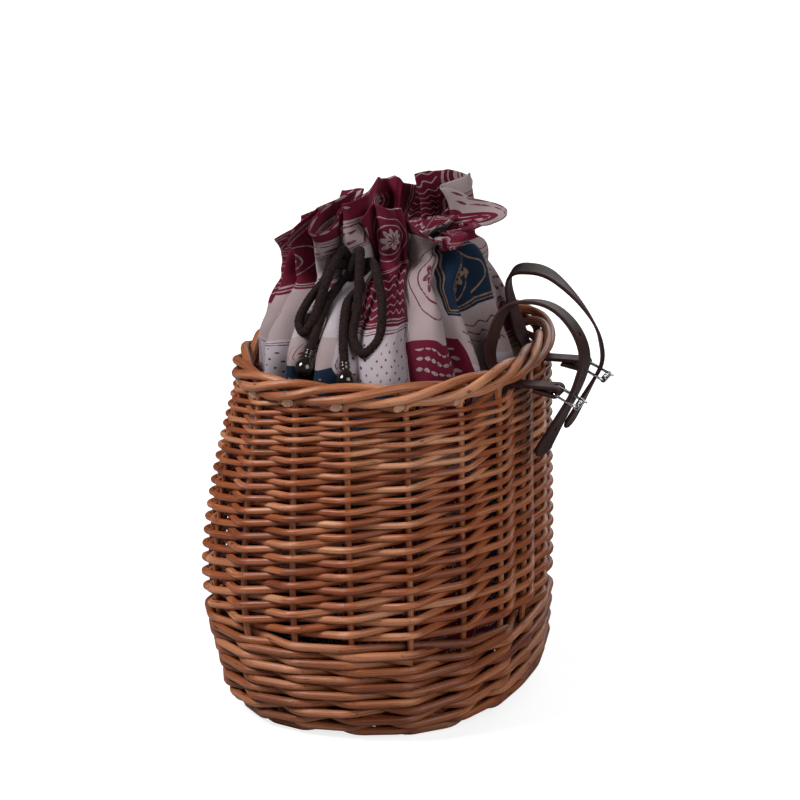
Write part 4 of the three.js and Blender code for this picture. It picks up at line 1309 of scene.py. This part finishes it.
# Painted shade: low blocks, inside the basket, pick only dark burgundy or navy instead of the full palette.
painted_shade_low = less(middle, PAINTED_SHADE_BELOW)
high = more(middle, RED_ABOVE)
pick = mul(chance, sub(1.0, mul(high, 0.62)))
painted_shade_pick = add(mul(chance, 0.2), mul(more(chance, 0.5), 0.48))
pick = add(mul(pick, sub(1.0, painted_shade_low)), mul(painted_shade_pick, painted_shade_low))
shares = (0.0, 0.3, 0.58, 0.68, 0.9)
ground = cotton.ramp(pick, *zip(shares, (BURGUNDY, CREAM, NAVY, WHITE, TAN)), step=True)
ink = cotton.ramp(pick, *zip(shares, (CREAM, BURGUNDY, TAN, BURGUNDY, BROWN)), step=True)

# %% Motifs in millimetres, and the weave of the cloth
HALF_WIDTH = TILE_WIDTH * 500
HALF_HEIGHT = TILE_HEIGHT * 500
THREAD_WAVE = 2 * math.pi / 0.0011
x_mm = mul(fract(column_at), 2 * HALF_WIDTH)
y_mm = mul(fy, 2 * HALF_HEIGHT)
split_mm = mul(split, 2 * HALF_HEIGHT)


def centred(value):
    """Distance from the middle of a whole step, from 0 to a half."""
    return absolute(sub(fract(value), 0.5))


def square(value):
    return mul(value, value)


def within(value, low, high):
    return mul(more(value, low), less(value, high))


dx = sub(x_mm, HALF_WIDTH)
edge = least(sub(HALF_WIDTH, absolute(dx)), sub(HALF_HEIGHT, absolute(sub(y_mm, HALF_HEIGHT))))
edge = least(edge, absolute(sub(y_mm, split_mm)))
framed = more(fract(mul(chance_two, 7.0)), 0.45)
frame_line = mul(add(within(edge, 1.4, 1.9), within(edge, 2.8, 3.6)), framed)
swell = mul(sine(mul(x_mm, 0.9)), 0.9)
waves = less(centred(div(add(y_mm, swell), 4.8)), 0.09)
leaves = less(centred(div(y_mm, 6.5)), sub(0.19, mul(square(centred(div(x_mm, 5.5))), 0.95)))
dot_x = centred(div(add(x_mm, y_mm), 8.5))
dot_y = centred(div(sub(x_mm, y_mm), 8.5))
dots = less(add(square(dot_x), square(dot_y)), 0.022)
dy = sub(y_mm, mul(add(split, upper), HALF_HEIGHT))
reach_out = cotton.math("SQRT", add(square(dx), square(dy)))
reach_out = mul(reach_out, add(1.0, mul(upper, 0.7)))
petals = mul(cotton.math("COSINE", mul(cotton.math("ARCTAN2", dy, dx), 8.0)), 2.2)
flower = add(within(sub(reach_out, petals), 2.5, 7.5), within(reach_out, 12.5, 13.6))
flower = add(flower, within(reach_out, 19.0, 19.8))
motif = mul(waves, less(chance_two, 0.18))
motif = add(motif, mul(dots, within(chance_two, 0.18, 0.32)))
motif = add(motif, mul(leaves, within(chance_two, 0.32, 0.64)))
motif = add(motif, mul(flower, more(chance_two, 0.64)))
printed = least(add(mul(motif, more(edge, 5.5)), frame_line), 1.0)
thread = mul(sine(mul(across, THREAD_WAVE)), sine(mul(upward, THREAD_WAVE)))
soil = cotton.noise(cotton.node("TexCoord", out=3), 35.0, 4.0)
worn = cotton.noise(cloth_map, 420.0, 4.0)
kept = cotton.node("MapRange", worn, 0.36, 0.5, 0.45, 0.95)
dye = cotton.blend(mul(printed, kept), ground, ink)
dyed = cotton.shaded(dye, cotton.node("MapRange", soil, 0.3, 0.7, 0.88, 1.05))
cotton.set(Base_Color=dyed, Roughness=0.85, Sheen_Weight=0.02, Specular_IOR_Level=0.15,
           Normal=cotton.bump(thread, 0.0002, 0.5))
dress([liner], cotton)

# %% [markdown]
# ## Light and floor
# Plain studio light: a soft lamp from the upper left, a weaker and larger one from the right, a faint one
# from behind, and an even, dim surround. The floor is white to the camera and still takes the basket's
# shadow. It has no glow under the basket's foot, a painted shadow that keeps the floor dark there, so
# nothing bright shows through the weave there.


# %% Lamps, surround and floor
def lamp(name, power, size, spot, aim=(0, 0, 0.15)):
    data = bpy.data.lights.new(name, "AREA")
    data.energy = power
    data.size = size
    item = linked(name, data)
    item.location = spot
    item.rotation_euler = (Vector(aim) - Vector(spot)).to_track_quat("-Z", "Y").to_euler()


lamp("key", 60, 0.9, (1.0, -1.3, 1.9))
lamp("fill", 26, 1.5, (1.2, 1.6, 1.2))
lamp("back", 14, 1.5, (-1.6, 0.3, 1.2))

SURROUND_LIGHT = 0.04
surround = bpy.data.worlds.new("surround")
bpy.context.scene.world = surround
sky = Finish("surround", surround)
ray = sky.node("LightPath")
seen = sky.math("MAXIMUM", ray, ray.node.outputs["Is Transmission Ray"])
sky.set(Color=(1, 1, 1, 1), Strength=sky.node("MapRange", seen, 0.0, 1.0, SURROUND_LIGHT, 1.0))

# Size of the oval under the basket's foot where the floor keeps a painted shadow.
SHADOW_OVAL_SCALE = (8.5, 12.0, 0.0)
sheet = bmesh.new()
bmesh.ops.create_grid(sheet, x_segments=1, y_segments=1, size=6)
floor = linked("floor", finished(sheet, "floor"))
paper = Finish("floor_paper")
on_floor = paper.node("TexCoord", out=3)
spread = paper.node("VectorMath", on_floor, operation="LENGTH", out=1)
glow = paper.node("MapRange", spread, 0.2, 0.8, 0.8, 1.0)
# Painted shadow: the floor loses its glow inside an oval under the basket's foot, so it stays dark there.
foot = paper.node("VectorMath", on_floor, SHADOW_OVAL_SCALE, operation="MULTIPLY")
foot = paper.node("VectorMath", foot, operation="LENGTH", out=1)
glow = paper.math("MULTIPLY", glow, paper.node("MapRange", foot, 0.85, 0.98, 0.0, 1.0))
paper.set(Base_Color=(0.4, 0.4, 0.4, 1), Roughness=0.9, Emission_Color=(1, 1, 1, 1),
          Emission_Strength=paper.math("MULTIPLY", glow, paper.node("LightPath")))
dress([floor], paper)
